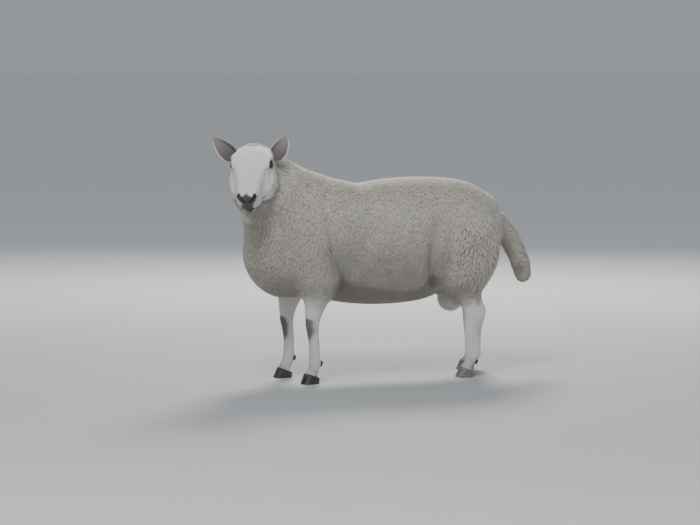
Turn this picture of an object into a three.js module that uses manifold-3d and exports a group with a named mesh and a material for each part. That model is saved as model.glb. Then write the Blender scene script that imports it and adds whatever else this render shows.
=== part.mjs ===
// A standing ram of a white-faced hill breed, life size, as a still display model.
// Millimetres, +Z up, the animal faces -X, its left side is -Y. Each node is the outer form of the
// coat (fleece, hair, skin or horn) of one named part of the body; neighbours keep a thin parting cut.
import * as THREE from "three";
import { mergeVertices } from "three/addons/utils/BufferGeometryUtils.js";
import Module from "manifold-3d";

const wasm = await Module();
wasm.setup();

// ---------------------------------------------------------------- driving sizes
const CUT = 0.25;                   // half of a parting cut
const TINY = 0.3;                   // the shortest edge a solid keeps
const BACK = 775;                   // height of the loin
const FORE_CUT = 322, KNEE_CUT = 234;   // heights of the parting cuts of a foreleg
const HIND_CUT = 348, HOCK_CUT = 226;   // and of a hind leg
const LEG_Y = 108;                  // half of the track between left and right feet
const EYE = { a: 76, l: 63.5, d: -36, r: 15.4 };                       // eyeball in the head frame, and its radius
const DEW = { fore: 76, hind: 60 };  // heights of the dewclaws
const EAR = { long: 106, wide: 31, lobe: 0.42, thick: 3.2, cup: 0.95 };   // leaf length, half width, how much wider its outer half is, half thickness, cupping angle
const CLAW = { long: 68, wide: 27.5, front: 45, heel: 18, split: 1.6 };  // sole length, width, coronet heights, cleft half width

// ---------------------------------------------------------------- small maths
const clamp = (v, a, b) => Math.min(b, Math.max(a, v));
const mix = (a, b, t) => a + (b - a) * t;
// Smooth union and smooth cut of two distances, blended over k.
const smin = (a, b, k) => { const h = Math.max(k - Math.abs(a - b), 0) / k; return Math.min(a, b) - h * h * k * 0.25; };

// Smooth curve through a table's column, with slopes from the neighbours.
function column(rows, c) {
  const x = rows.map((r) => r[0]), y = rows.map((r) => r[c]), n = x.length, m = [];
  for (let i = 0; i < n; i++) {
    const a = Math.max(i - 1, 0), b = Math.min(i + 1, n - 1);
    m.push((y[b] - y[a]) / (x[b] - x[a]));
  }
  return (t) => {
    if (t <= x[0]) return y[0];
    if (t >= x[n - 1]) return y[n - 1];
    let i = 0;
    while (t > x[i + 1]) i++;
    const h = x[i + 1] - x[i], s = (t - x[i]) / h, s2 = s * s, s3 = s2 * s;
    return y[i] * (2 * s3 - 3 * s2 + 1) + m[i] * h * (s3 - 2 * s2 + s) + y[i + 1] * (3 * s2 - 2 * s3) + m[i + 1] * h * (s3 - s2);
  };
}

// A form swept along an axis s through oval sections. rows: [s, u, v, half u, half v up, half v down, power up, power down].
function loft(rows, cap0, cap1) {
  const f = [1, 2, 3, 4, 5, 6, 7].map((c) => column(rows, c));
  const s0 = rows[0][0], s1 = rows[rows.length - 1][0];
  return (s, u, v) => {
    const e = clamp(s, s0, s1), ds = s - e, cap = ds < 0 ? cap0 : cap1;
    const du = u - f[0](e), dv = v - f[1](e), up = dv > 0;
    const n = f[up ? 5 : 6](e);
    const g2 = Math.pow(Math.pow(Math.abs(du) / f[2](e), n) + Math.pow(Math.abs(dv) / f[up ? 3 : 4](e), n), 1 / n);
    const g = Math.sqrt(g2 * g2 + (ds / cap) * (ds / cap)), r = Math.sqrt(du * du + dv * dv + ds * ds);
    return g < 1e-6 ? -f[2](e) : r * (1 - 1 / g);
  };
}
// An oval ball with its own axes (rows of a turn about Y then Z).
function oval(cx, cy, cz, rx, ry, rz, tiltY = 0) {
  const c = Math.cos(tiltY), s = Math.sin(tiltY);
  return (x, y, z) => {
    const dx = x - cx, dy = y - cy, dz = z - cz;
    const a = (c * dx - s * dz) / rx, b = dy / ry, d = (s * dx + c * dz) / rz;
    const g = Math.sqrt(a * a + b * b + d * d), r = Math.sqrt(dx * dx + dy * dy + dz * dz);
    return g < 1e-6 ? -Math.min(rx, ry, rz) : r * (1 - 1 / g);
  };
}
// A tapered round-ended bar.
function bar(a, b, ra, rb) {
  const ab = [b[0] - a[0], b[1] - a[1], b[2] - a[2]], l2 = ab[0] ** 2 + ab[1] ** 2 + ab[2] ** 2;
  return (x, y, z) => {
    const p = [x - a[0], y - a[1], z - a[2]], t = clamp((p[0] * ab[0] + p[1] * ab[1] + p[2] * ab[2]) / l2, 0, 1);
    return Math.hypot(p[0] - t * ab[0], p[1] - t * ab[1], p[2] - t * ab[2]) - mix(ra, rb, t);
  };
}

// ---------------------------------------------------------------- trunk, s runs along X
//            x,   y,  widest z, half width, up, down, power up, power down
const TRUNK = [
  [-400, 0, 560, 128, 172, 215, 2.1, 2.0],
  [-330, 0, 555, 160, 198, 226, 2.2, 2.0],
  [-250, 0, 550, 174, 212, 238, 2.3, 1.9],
  [-170, 0, 545, 182, 214, 250, 2.4, 1.8],
  [-95, 0, 540, 192, 216, 254, 2.4, 1.75],
  [0, 0, 540, 200, 230, 258, 2.4, 1.75],
  [90, 0, 542, 203, 234, 256, 2.4, 1.75],
  [170, 0, 548, 201, 229, 250, 2.4, 1.8],
  [240, 0, 558, 196, 216, 232, 2.4, 1.9],
  [300, 0, 572, 186, 195, 200, 2.3, 2.0],
  [350, 0, 580, 170, 176, 165, 2.2, 2.0],
  [400, 0, 585, 146, 148, 130, 2.1, 2.0],
  [440, 0, 590, 112, 118, 100, 2.0, 2.0],
];
const trunkForm = loft(TRUNK, 110, 46);
const CHEST = oval(-402, 0, 496, 153, 148, 169);
const SHOULDER = (s) => oval(-300, s * 92, 500, 118, 82, 150, 0.12);
const ELBOW = (s) => oval(-285, s * 112, 405, 82, 56, 92, 0.1);
const HAUNCH = (s) => oval(332 + s * 6, s * 96, 520, 122, 92, 170, -0.10);
const STIFLE = (s) => oval(292 + s * 14, s * 110, 425, 92, 62, 92, 0.5);
const BUTTOCK = (s) => oval(388 + s * 8, s * 94, 470, 54, 60, 128, 0.12);
const SCROTUM = { top: [262, 0, 392], end: [287, 0, 298], r0: 34, r1: 53 };

// ---------------------------------------------------------------- neck, a chain of bars that swings to the left
const NECK = [
  [-262, 0, 590, 182],
  [-360, -6, 652, 163],
  [-428, -16, 704, 142],
  [-464, -14, 746, 126],
  [-482, -12, 772, 112],
];
// the roll of wool behind the cheeks: an oval ring round the head's root
const RUFF = { at: [-516, -50, 764], turn: 64, drop: 0, across: 82, tall: 100, thick: 28 };

// ---------------------------------------------------------------- head frame: a along the face to the nose, d out of the face, l to the animal's left
const FACE_TURN = THREE.MathUtils.degToRad(64), FACE_DROP = THREE.MathUtils.degToRad(50);
const POLL = new THREE.Vector3(-557, -126, 917);
const forward = new THREE.Vector3(-Math.cos(FACE_TURN), -Math.sin(FACE_TURN), 0);
const AXIS_A = forward.clone().multiplyScalar(Math.cos(FACE_DROP)).add(new THREE.Vector3(0, 0, -Math.sin(FACE_DROP)));
const AXIS_D = forward.clone().multiplyScalar(Math.sin(FACE_DROP)).add(new THREE.Vector3(0, 0, Math.cos(FACE_DROP)));
const AXIS_L = new THREE.Vector3(-forward.y, forward.x, 0);
const HEAD_FRAME = new THREE.Matrix4().makeBasis(AXIS_A, AXIS_L, AXIS_D).setPosition(POLL);   // local (a, l, d)
const toHead = HEAD_FRAME.clone().invert().elements;
//           a, l, d of widest, half width, up, down, power up, power down
const SKULL = [
  [-2, 0, -62, 70, 47, 60, 2.0, 2.0],
  [20, 0, -58, 76, 58, 74, 2.1, 2.0],
  [50, 0, -52, 77, 62, 86, 2.5, 2.0],
  [85, 0, -48, 74, 60, 92, 2.7, 2.0],
  [118, 0, -47, 67, 59, 88, 2.5, 2.1],
  [150, 0, -46, 58, 56, 76, 2.4, 2.2],
  [180, 0, -46, 49, 53, 62, 2.3, 2.3],
  [206, 0, -46, 46, 46, 54, 2.4, 2.4],
  [226, 0, -48, 40, 38, 46, 2.4, 2.4],
];
const skullForm = loft(SKULL, 24, 22);
const BROW = (s) => oval(72, s * 61, -17, 32, 20, 17);
const CROWN = oval(-4, 0, -40, 22, 34, 24);                                // the tuft on the poll
// the shallow hollow the eye looks out of, on its own axes: along the lids, up, and out
const EYE_OUT = new THREE.Vector3(0.12, 0.82, 0.56).normalize();
const lidFore = new THREE.Vector3(1, 0, 0).addScaledVector(EYE_OUT, -EYE_OUT.x).normalize();
const lidUp = new THREE.Vector3().crossVectors(EYE_OUT, lidFore);
if (lidUp.z < 0) lidUp.negate();
const EYE_LONG = lidFore.clone().multiplyScalar(Math.cos(0.3)).addScaledVector(lidUp, Math.sin(0.3));
const EYE_UP = lidFore.clone().multiplyScalar(-Math.sin(0.3)).addScaledVector(lidUp, Math.cos(0.3));
const DISH = (s) => (a, l, d) => {
  const t = new THREE.Vector3(a - EYE.a, s * l - EYE.l, d - EYE.d);
  return oval(0, 0, 19.5, 20, 15, 9.5)(t.dot(EYE_LONG), t.dot(EYE_UP), t.dot(EYE_OUT));
};
const CHEEK = (s) => oval(120, s * 49, -91, 72, 38, 50);
const LIP = oval(216, 0, -66, 31, 44, 32);
const CHIN = oval(209, 0, -102, 36, 29, 20);
const NOSE = oval(228, 0, -28, 22, 34, 24);
function headForm(a, l, d) {
  let f = skullForm(a, l, d);
  const s = Math.sign(l) || 1;
  f = smin(f, BROW(s)(a, l, d), 18);
  f = smin(f, CHEEK(s)(a, l, d), 26);
  f = -smin(-f, DISH(s)(a, l, d), 9);
  f = smin(f, CROWN(a, l, d), 8);
  f = smin(f, LIP(a, l, d), 16);
  f = smin(f, CHIN(a, l, d), 16);
  return smin(f, NOSE(a, l, d), 14);
}

// ---------------------------------------------------------------- legs, s runs up Z, u across, v forward (towards -X)
// profile rows: [z, centre shift x, half width, half front, half back, power, power]
const FORE = [
  [26, -14, 30, 30, 27, 2.3, 2.1],
  [44, -7, 27, 25, 23, 2.2, 2.0],
  [62, 1, 25, 23, 24, 2.1, 2.0],
  [80, 3, 24, 22, 26, 2.1, 2.0],
  [105, 2, 21, 21, 23, 2.2, 2.0],
  [150, 1, 20, 21.5, 23, 2.2, 2.0],
  [190, -2, 22, 24, 22, 2.3, 2.1],
  [222, -4, 26, 28, 25, 2.4, 2.1],
  [250, -2, 27, 31, 31, 2.2, 2.0],
  [290, 5, 33, 40, 42, 2.1, 2.0],
  [330, 14, 40, 52, 52, 2.0, 2.0],
  [380, 22, 46, 66, 64, 2.0, 2.0],
];
const HIND = [
  [26, -26, 30, 30, 29, 2.3, 2.1],
  [44, -16, 26, 26, 24, 2.2, 2.0],
  [62, -4, 25, 24, 25, 2.1, 2.0],
  [80, 1, 26, 26, 36, 2.1, 2.0],
  [105, 1, 24, 27, 37, 2.2, 2.0],
  [150, 0, 24, 28, 39, 2.2, 2.0],
  [195, 2, 25, 31, 42, 2.3, 2.1],
  [232, 6, 28, 35, 50, 2.3, 2.2],
  [262, 4, 28, 41, 57, 2.2, 1.8],
  [290, -4, 29, 49, 52, 2.1, 1.9],
  [320, -18, 36, 60, 56, 2.0, 2.0],
  [360, -36, 46, 78, 84, 2.0, 2.0],
  [400, -44, 56, 98, 108, 2.0, 2.0],
];
// Where each leg stands: x of the cannon, lateral sign, how far the foot is moved forward of the knee, toe-out angle.
const LEGS = {
  foreleg_left: { rows: FORE, x: -311, top: -311, side: -1, lean: 0, toe: 0.42 },
  foreleg_right: { rows: FORE, x: -338, top: -350, side: 1, lean: -12, toe: -0.05 },
  hindleg_left: { rows: HIND, x: 335, top: 335, side: -1, lean: 0, toe: 0.10 },
  hindleg_right: { rows: HIND, x: 421, top: 405, side: 1, lean: 4, toe: 0.12 },
};
for (const leg of Object.values(LEGS)) {
  const placed = leg.rows.map(([z, dx, w, front, back, n1, n2]) => {
    const up = clamp((z - 60) / (leg.rows === FORE ? 260 : 300), 0, 1);
    // a leg slants from where its foot stands to where it leaves the body
    const cx = mix(leg.x + leg.lean * clamp((200 - z) / 150, 0, 1), leg.top, up * up * (3 - 2 * up)) + dx;
    return [z, leg.side * (LEG_Y - 4 * up), -cx, w, front, back, n1, n2];
  });
  const form = loft(placed, 20, leg.rows === FORE ? 40 : 100);
  leg.form = (x, y, z) => form(z, y, -x);
  const shift = column(placed, 2), side = column(placed, 1);
  leg.axis = (z) => [-shift(z), side(z)];
  leg.foot = leg.x + leg.lean + leg.rows[0][1];
}

// ---------------------------------------------------------------- tail
const TAIL = [
  [420, 0, 598, 62],
  [478, 0, 584, 53],
  [528, 0, 540, 43],
  [561, 0, 486, 39],
  [585, 0, 430, 38],
  [596, 0, 384, 35],
];

// ---------------------------------------------------------------- the whole body as one field, negative inside
function chain(points, k) {
  const bars = points.slice(1).map((b, i) => bar(points[i], b, points[i][3], b[3]));
  return (x, y, z) => bars.reduce((f, g) => (f === null ? g(x, y, z) : smin(f, g(x, y, z), k)), null);
}
const neckForm = chain(NECK, 30), tailForm = chain(TAIL, 12);
const ruffForm = (() => {
  const t = THREE.MathUtils.degToRad(RUFF.turn), q = THREE.MathUtils.degToRad(RUFF.drop);
  const f = [-Math.cos(t) * Math.cos(q), -Math.sin(t) * Math.cos(q), -Math.sin(q)], l = [Math.sin(t), -Math.cos(t), 0];
  const u = [-Math.cos(t) * Math.sin(q), -Math.sin(t) * Math.sin(q), Math.cos(q)];
  const dot = (a, x, y, z) => a[0] * x + a[1] * y + a[2] * z;
  return (x, y, z) => {
    const dx = x - RUFF.at[0], dy = y - RUFF.at[1], dz = z - RUFF.at[2];
    const a = dot(f, dx, dy, dz), b = dot(l, dx, dy, dz), c = dot(u, dx, dy, dz);
    const g = Math.hypot(b / RUFF.across, c / RUFF.tall), r = Math.hypot(b, c);
    return Math.hypot(g < 1e-6 ? RUFF.across : r * (1 - 1 / g), a) - RUFF.thick;
  };
})();
const scrotumForm = bar(SCROTUM.top, SCROTUM.end, SCROTUM.r0, SCROTUM.r1);
function headAt(x, y, z) {
  const e = toHead;
  return headForm(e[0] * x + e[4] * y + e[8] * z + e[12], e[1] * x + e[5] * y + e[9] * z + e[13], e[2] * x + e[6] * y + e[10] * z + e[14]);
}
function torso(x, y, z) {
  const s = Math.sign(y) || 1;
  let f = trunkForm(x, y, z);
  f = smin(f, CHEST(x, y, z), 60);
  f = smin(f, SHOULDER(s)(x, y, z), 50);
  f = smin(f, ELBOW(s)(x, y, z), 40);
  f = smin(f, HAUNCH(s)(x, y, z), 50);
  f = smin(f, STIFLE(s)(x, y, z), 40);
  return smin(f, BUTTOCK(s)(x, y, z), 40);
}
function whole(x, y, z) {
  let f = torso(x, y, z);
  f = smin(f, neckForm(x, y, z), 70);
  f = smin(f, ruffForm(x, y, z), 30);
  f = smin(f, headAt(x, y, z), 26);
  for (const leg of Object.values(LEGS)) if (z < 470) f = smin(f, leg.form(x, y, z), 34);
  f = smin(f, tailForm(x, y, z), 24);
  return smin(f, scrotumForm(x, y, z), 16);
}

// ---------------------------------------------------------------- surface of a field over a box of cells, as a closed BufferGeometry
function steps(lo, hi, cell) {
  const n = Math.max(2, Math.round((hi - lo) / cell));
  return Array.from({ length: n + 1 }, (_, i) => mix(lo, hi, i / n));
}
function skin(field, xs, ys, zs) {
  const nx = xs.length, ny = ys.length, nz = zs.length, at = (i, j, k) => (i * ny + j) * nz + k;
  const v = new Float64Array(nx * ny * nz);
  for (let i = 0; i < nx; i++) for (let j = 0; j < ny; j++) for (let k = 0; k < nz; k++) {
    const edge = i === 0 || j === 0 || k === 0 || i === nx - 1 || j === ny - 1 || k === nz - 1;
    const f = field(xs[i], ys[j], zs[k]);
    v[at(i, j, k)] = edge ? Math.max(f, 1e-3) : f;
  }
  const point = new Map(), pos = [], index = [];
  const corner = [0, 1, 2, 3, 4, 5, 6, 7].map((c) => [c & 1, (c >> 1) & 1, c >> 2]);
  const pairs = [];
  for (let a = 0; a < 8; a++) for (let b = a + 1; b < 8; b++) if ([1, 2, 4].includes(a ^ b)) pairs.push([a, b]);
  function cell(i, j, k) {
    const key = at(i, j, k);
    if (point.has(key)) return point.get(key);
    let n = 0, p = [0, 0, 0];
    for (const [a, b] of pairs) {
      const A = corner[a], B = corner[b];
      const fa = v[at(i + A[0], j + A[1], k + A[2])], fb = v[at(i + B[0], j + B[1], k + B[2])];
      if (fa < 0 === fb < 0) continue;
      const t = fa / (fa - fb);
      p[0] += mix(xs[i + A[0]], xs[i + B[0]], t); p[1] += mix(ys[j + A[1]], ys[j + B[1]], t); p[2] += mix(zs[k + A[2]], zs[k + B[2]], t);
      n++;
    }
    point.set(key, pos.length / 3);
    pos.push(p[0] / n, p[1] / n, p[2] / n);
    return point.get(key);
  }
  const quad = (a, b, c, d, flip) => {
    // the shorter diagonal keeps the surface smoother
    const q = (m, n) => (pos[3 * m] - pos[3 * n]) ** 2 + (pos[3 * m + 1] - pos[3 * n + 1]) ** 2 + (pos[3 * m + 2] - pos[3 * n + 2]) ** 2;
    const t = q(a, c) <= q(b, d) ? [a, b, c, a, c, d] : [a, b, d, b, c, d];
    if (flip) index.push(t[0], t[2], t[1], t[3], t[5], t[4]); else index.push(...t);
  };
  for (let i = 0; i < nx - 1; i++) for (let j = 0; j < ny - 1; j++) for (let k = 0; k < nz - 1; k++) {
    const f = v[at(i, j, k)];
    if (j > 0 && k > 0 && f < 0 !== v[at(i + 1, j, k)] < 0) quad(cell(i, j, k), cell(i, j, k - 1), cell(i, j - 1, k - 1), cell(i, j - 1, k), f < 0 ? true : false);
    if (i > 0 && k > 0 && f < 0 !== v[at(i, j + 1, k)] < 0) quad(cell(i, j, k), cell(i - 1, j, k), cell(i - 1, j, k - 1), cell(i, j, k - 1), f < 0 ? true : false);
    if (i > 0 && j > 0 && f < 0 !== v[at(i, j, k + 1)] < 0) quad(cell(i, j, k), cell(i, j - 1, k), cell(i - 1, j - 1, k), cell(i - 1, j, k), f < 0 ? true : false);
  }
  // even the cells out, then pull every point onto the surface along the slope
  const around = Array.from({ length: pos.length / 3 }, () => new Set());
  for (let t = 0; t < index.length; t += 3) for (let c = 0; c < 3; c++) {
    around[index[t + c]].add(index[t + ((c + 1) % 3)]);
    around[index[t + ((c + 1) % 3)]].add(index[t + c]);
  }
  for (let r = 0; r < 5; r++) {
    const old = pos.slice();
    around.forEach((ring, i) => {
      if (r > 2 || !ring.size) return;
      for (let c = 0; c < 3; c++) {
        let sum = 0;
        for (const j of ring) sum += old[3 * j + c];
        pos[3 * i + c] = mix(old[3 * i + c], sum / ring.size, 0.5);
      }
    });
    for (let i = 0; i < pos.length; i += 3) pull(i);
  }
  function pull(i) {
    const [x, y, z] = [pos[i], pos[i + 1], pos[i + 2]], e = 0.5, f = field(x, y, z);
    const g = [field(x + e, y, z) - field(x - e, y, z), field(x, y + e, z) - field(x, y - e, z), field(x, y, z + e) - field(x, y, z - e)].map((c) => c / (2 * e));
    const l = Math.max(g[0] ** 2 + g[1] ** 2 + g[2] ** 2, 0.2), step = clamp(f / l, -4, 4);
    for (let c = 0; c < 3; c++) pos[i + c] -= step * g[c] * 0.9;
  }
  const g = new THREE.BufferGeometry();
  g.setAttribute("position", new THREE.Float32BufferAttribute(pos, 3));
  g.setIndex(index);
  return g;
}

// ---------------------------------------------------------------- solids: three.js geometry in, manifold solid out, for the parting cuts
function welded(geometry) {
  const g = geometry.clone();
  g.deleteAttribute("normal"); g.deleteAttribute("uv");
  return mergeVertices(g, 1e-4);
}
function solid(geometry) {
  const m = welded(geometry);
  return new wasm.Manifold(new wasm.Mesh({ numProp: 3, vertProperties: m.attributes.position.array, triVerts: new Uint32Array(m.index.array) }));
}
function geometryOf(m) {
  const mesh = m.getMesh(), pos = mesh.vertProperties;
  let tris = [];
  for (let t = 0; t < mesh.triVerts.length; t += 3) tris.push([mesh.triVerts[t], mesh.triVerts[t + 1], mesh.triVerts[t + 2]]);
  // slivers that a cut leaves: edges shorter than TINY close up, where their ends share just two neighbours
  for (let round = 0; round < 40; round++) {
    const next = new Map();
    for (const t of tris) for (let c = 0; c < 3; c++) for (const d of [1, 2]) {
      if (!next.has(t[c])) next.set(t[c], new Set());
      next.get(t[c]).add(t[(c + d) % 3]);
    }
    let pair = null;
    for (const [a, ring] of next) for (const b of ring) {
      if (pair || a > b || Math.hypot(pos[3 * a] - pos[3 * b], pos[3 * a + 1] - pos[3 * b + 1], pos[3 * a + 2] - pos[3 * b + 2]) > TINY) continue;
      if ([...ring].filter((q) => next.get(b).has(q)).length === 2) pair = [a, b];
    }
    if (!pair) break;
    tris = tris.map((t) => t.map((q) => (q === pair[1] ? pair[0] : q))).filter((t) => t[0] !== t[1] && t[1] !== t[2] && t[2] !== t[0]);
  }
  const g = new THREE.BufferGeometry();
  g.setAttribute("position", new THREE.BufferAttribute(pos, 3));
  g.setIndex(tris.flat());
  g.computeVertexNormals();
  // where two sheets of the surface touch at a corner, each draws back a little along its own normal
  const n = g.attributes.normal, seen = new Map();
  for (const q of new Set(tris.flat())) {
    const key = [0, 1, 2].map((c) => pos[3 * q + c].toFixed(3)).join();
    seen.set(key, [...(seen.get(key) || []), q]);
  }
  for (const list of seen.values()) if (list.length > 1) for (const q of list) {
    pos[3 * q] -= 0.15 * n.getX(q); pos[3 * q + 1] -= 0.15 * n.getY(q); pos[3 * q + 2] -= 0.15 * n.getZ(q);
  }
  const clean = mergeVertices(g.toNonIndexed(), 1e-6);
  clean.computeVertexNormals();
  return clean;
}
// A box from low to high corner, grown or shrunk by the parting cut, with an optional turn.
function block(lo, hi, grow = 0, matrix = null) {
  const g = new THREE.BoxGeometry(hi[0] - lo[0] + 2 * grow, hi[1] - lo[1] + 2 * grow, hi[2] - lo[2] + 2 * grow);
  g.translate((lo[0] + hi[0]) / 2, (lo[1] + hi[1]) / 2, (lo[2] + hi[2]) / 2);
  if (matrix) g.applyMatrix4(matrix);
  return solid(g);
}
// the same closed surface, moved out along its slopes by a parting cut: what may touch it is cut with this
function grown(geometry, by) {
  const g = welded(geometry);
  g.computeVertexNormals();
  const p = g.attributes.position, n = g.attributes.normal;
  for (let i = 0; i < p.count; i++) p.setXYZ(i, p.getX(i) + by * n.getX(i), p.getY(i) + by * n.getY(i), p.getZ(i) + by * n.getZ(i));
  return solid(g);
}
const largest = (m) => m.decompose().reduce((a, b) => (a.volume() > b.volume() ? a : b));

// ---------------------------------------------------------------- materials
const matter = (color, roughness) => new THREE.MeshStandardMaterial({ color, roughness, metalness: 0 });
const FLEECE = matter(0xcfc8ba, 0.95), HAIR = matter(0xe6e3dd, 0.85), HORN = matter(0x2a2623, 0.55), EYE_MATTER = matter(0x1a120c, 0.12);

const sheep = new THREE.Group();
const add = (name, m, material) => {
  const mesh = new THREE.Mesh(geometryOf(m), material);
  mesh.name = name;
  sheep.add(mesh);
  return mesh;
};

// ---------------------------------------------------------------- trunk, neck, head, tail
const box = (x0, x1, y0, y1, z0, z1) => [[x0, y0, z0], [x1, y1, z1]];
const BIG = 900;
// planes of the parting cuts, each a frame whose +X side is kept by the farther part
function halfSpace(origin, direction, side, gap = CUT) {
  const q = new THREE.Quaternion().setFromUnitVectors(new THREE.Vector3(1, 0, 0), direction.clone().normalize());
  const m = new THREE.Matrix4().compose(new THREE.Vector3(...origin), q, new THREE.Vector3(1, 1, 1));
  return side > 0 ? block([gap, -BIG, -BIG], [2 * BIG, BIG, BIG], 0, m) : block([-2 * BIG, -BIG, -BIG], [-gap, BIG, BIG], 0, m);
}
const NECK_CUT = { at: [-345, 0, 640], dir: new THREE.Vector3(-0.80, -0.05, 0.60) };
const HEAD_CUT = { at: [-520, -75, 860], dir: new THREE.Vector3(-0.6, -0.8, -0.03) };
const JAW_CUT = { at: new THREE.Vector3(120, 0, -147).applyMatrix4(HEAD_FRAME).toArray(), dir: AXIS_D.clone().addScaledVector(AXIS_A, -0.1) };
const headRegion = (gap) => halfSpace(HEAD_CUT.at, HEAD_CUT.dir, 1, gap).intersect(halfSpace(JAW_CUT.at, JAW_CUT.dir, 1, gap));
const TAIL_CUT = { at: [486, 0, 590], dir: new THREE.Vector3(0.93, 0, -0.36) };

const legBox = {};
for (const [name, leg] of Object.entries(LEGS)) {
  const fore = leg.rows === FORE, s = leg.side;
  const [xa, xb] = fore ? [leg.top - 62, leg.top + 84] : [leg.top - 142, leg.top + 96];
  legBox[name] = box(xa, xb, s < 0 ? -200 : 42, s < 0 ? -42 : 200, -60, fore ? FORE_CUT : HIND_CUT);
}
const SCROTUM_BOX = box(196, 352, -62, 62, 200, 352);
let trunk = solid(skin(whole, steps(-600, 560, 47), steps(-262, 262, 43), steps(250, 840, 44)));
for (const b of Object.values(legBox)) trunk = trunk.subtract(block(b[0], b[1], CUT));
trunk = trunk.intersect(halfSpace(NECK_CUT.at, NECK_CUT.dir, -1)).intersect(halfSpace(TAIL_CUT.at, TAIL_CUT.dir, -1));
trunk = trunk.subtract(block(SCROTUM_BOX[0], SCROTUM_BOX[1], CUT));
add("trunk", largest(trunk), FLEECE);

const neckSkin = skin(whole, steps(-680, -180, 38), steps(-260, 220, 38), steps(400, 960, 38));
const neck = solid(neckSkin)
  .intersect(halfSpace(NECK_CUT.at, NECK_CUT.dir, 1)).subtract(headRegion(-CUT));
add("neck", largest(neck), FLEECE);

// the head is netted in its own frame, so that its cells follow the face
const inHead = (a, l, d) => {
  const p = new THREE.Vector3(a, l, d).applyMatrix4(HEAD_FRAME);
  return whole(p.x, p.y, p.z);
};
const headSkin = skin(inHead, steps(-94, 284, 18.4), steps(-130, 130, 16.4), steps(-204, 48, 17));
headSkin.applyMatrix4(HEAD_FRAME);
let head = solid(headSkin).intersect(headRegion(CUT));
const headRoom = grown(headSkin, 2 * CUT).add(grown(neckSkin, 2 * CUT));

// eyeballs, each in a socket of its own
for (const [side, s] of [["left", 1], ["right", -1]]) {
  const at = new THREE.Vector3(EYE.a, s * EYE.l, EYE.d).applyMatrix4(HEAD_FRAME);
  const ball = (r) => solid(new THREE.SphereGeometry(r, 11, 8).rotateX(0.4 * s).applyMatrix4(HEAD_FRAME).translate(at.x - POLL.x, at.y - POLL.y, at.z - POLL.z));
  head = head.subtract(ball(EYE.r + 2 * CUT));
  add("eye_" + side, ball(EYE.r), EYE_MATTER);
}
add("head", largest(head), HAIR);

// ears: a cupped leaf, thick in the middle and thin at the rim, standing on the side of the skull
// root and tip direction in the working frame, and where the hollow side looks
const EARS = {
  ear_left: { root: [20, 76, -62], reach: [52, 24, 80], open: [-40, -90, 20], outer: 1 },
  ear_right: { root: [20, -76, -52], reach: [-70, 30, 70], open: [-30, -92, 8], outer: -1 },
};
const earHalf = (t) => EAR.wide * Math.pow(Math.sin(Math.PI * Math.pow(clamp(t, 0, 1), 0.66)), 0.64) + 10 * (1 - t) * (1 - t) * Math.sqrt(clamp(t * 12, 0, 1));
for (const [name, e] of Object.entries(EARS)) {
  const root = new THREE.Vector3(...e.root).applyMatrix4(HEAD_FRAME);
  const along = new THREE.Vector3(...e.reach).normalize();
  const hollow = new THREE.Vector3(...e.open);
  hollow.addScaledVector(along, -hollow.dot(along)).normalize();
  const across = new THREE.Vector3().crossVectors(along, hollow);
  const g = new THREE.SphereGeometry(1, 12, 9), p = g.attributes.position;
  for (let i = 0; i < p.count; i++) {
    const t = clamp((1 - p.getY(i)) / 2, 0, 1), ring = Math.hypot(p.getX(i), p.getZ(i));
    const u = ring > 1e-6 ? p.getX(i) / ring : 0, w = ring > 1e-6 ? p.getZ(i) / ring : 0;
    const half = earHalf(t), bend = EAR.cup * mix(1.5, 0.7, t);
    const fat = EAR.thick * Math.sqrt(clamp(t * 6, 0, 1)) * Math.min(1, Math.sqrt(Math.max(0, 4 * (1 - t)))) * mix(1.7, 0.9, t);
    const broad = half * (u * e.outer > 0 ? 1 + EAR.lobe : 1);
    const side = (broad / bend) * Math.sin(u * bend), deep = (broad / bend) * (1 - Math.cos(u * bend)) - 0.25 * half;
    const v = root.clone().addScaledVector(along, EAR.long * (t - 0.12) / 0.88)
      .addScaledVector(across, side).addScaledVector(hollow, deep + w * fat - 10 * t * t);
    p.setXYZ(i, v.x, v.y, v.z);
  }
  let m = solid(g);
  if (m.volume() < 0) { g.index.array.reverse(); m = solid(g); }
  add(name, largest(m.subtract(headRoom)), HAIR);
}

const tail = solid(skin(whole, steps(440, 680, 24), steps(-70, 70, 23), steps(320, 680, 29))).intersect(halfSpace(TAIL_CUT.at, TAIL_CUT.dir, 1));
add("tail", largest(tail), FLEECE);
const scrotum = solid(skin(scrotumForm, steps(190, 360, 27), steps(-70, 70, 26), steps(220, 450, 27))).intersect(block(SCROTUM_BOX[0], SCROTUM_BOX[1], -CUT));
add("scrotum", largest(scrotum), FLEECE);

// ---------------------------------------------------------------- legs
// How far out from an upright axis the field ends, in the direction (dx, dy).
function edge(field, cx, cy, z, dx, dy, reach) {
  let a = 0, b = reach;
  for (let q = 0; q < 22; q++) { const m = (a + b) / 2; if (field(cx + dx * m, cy + dy * m, z) < 0) a = m; else b = m; }
  return a;
}
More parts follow.
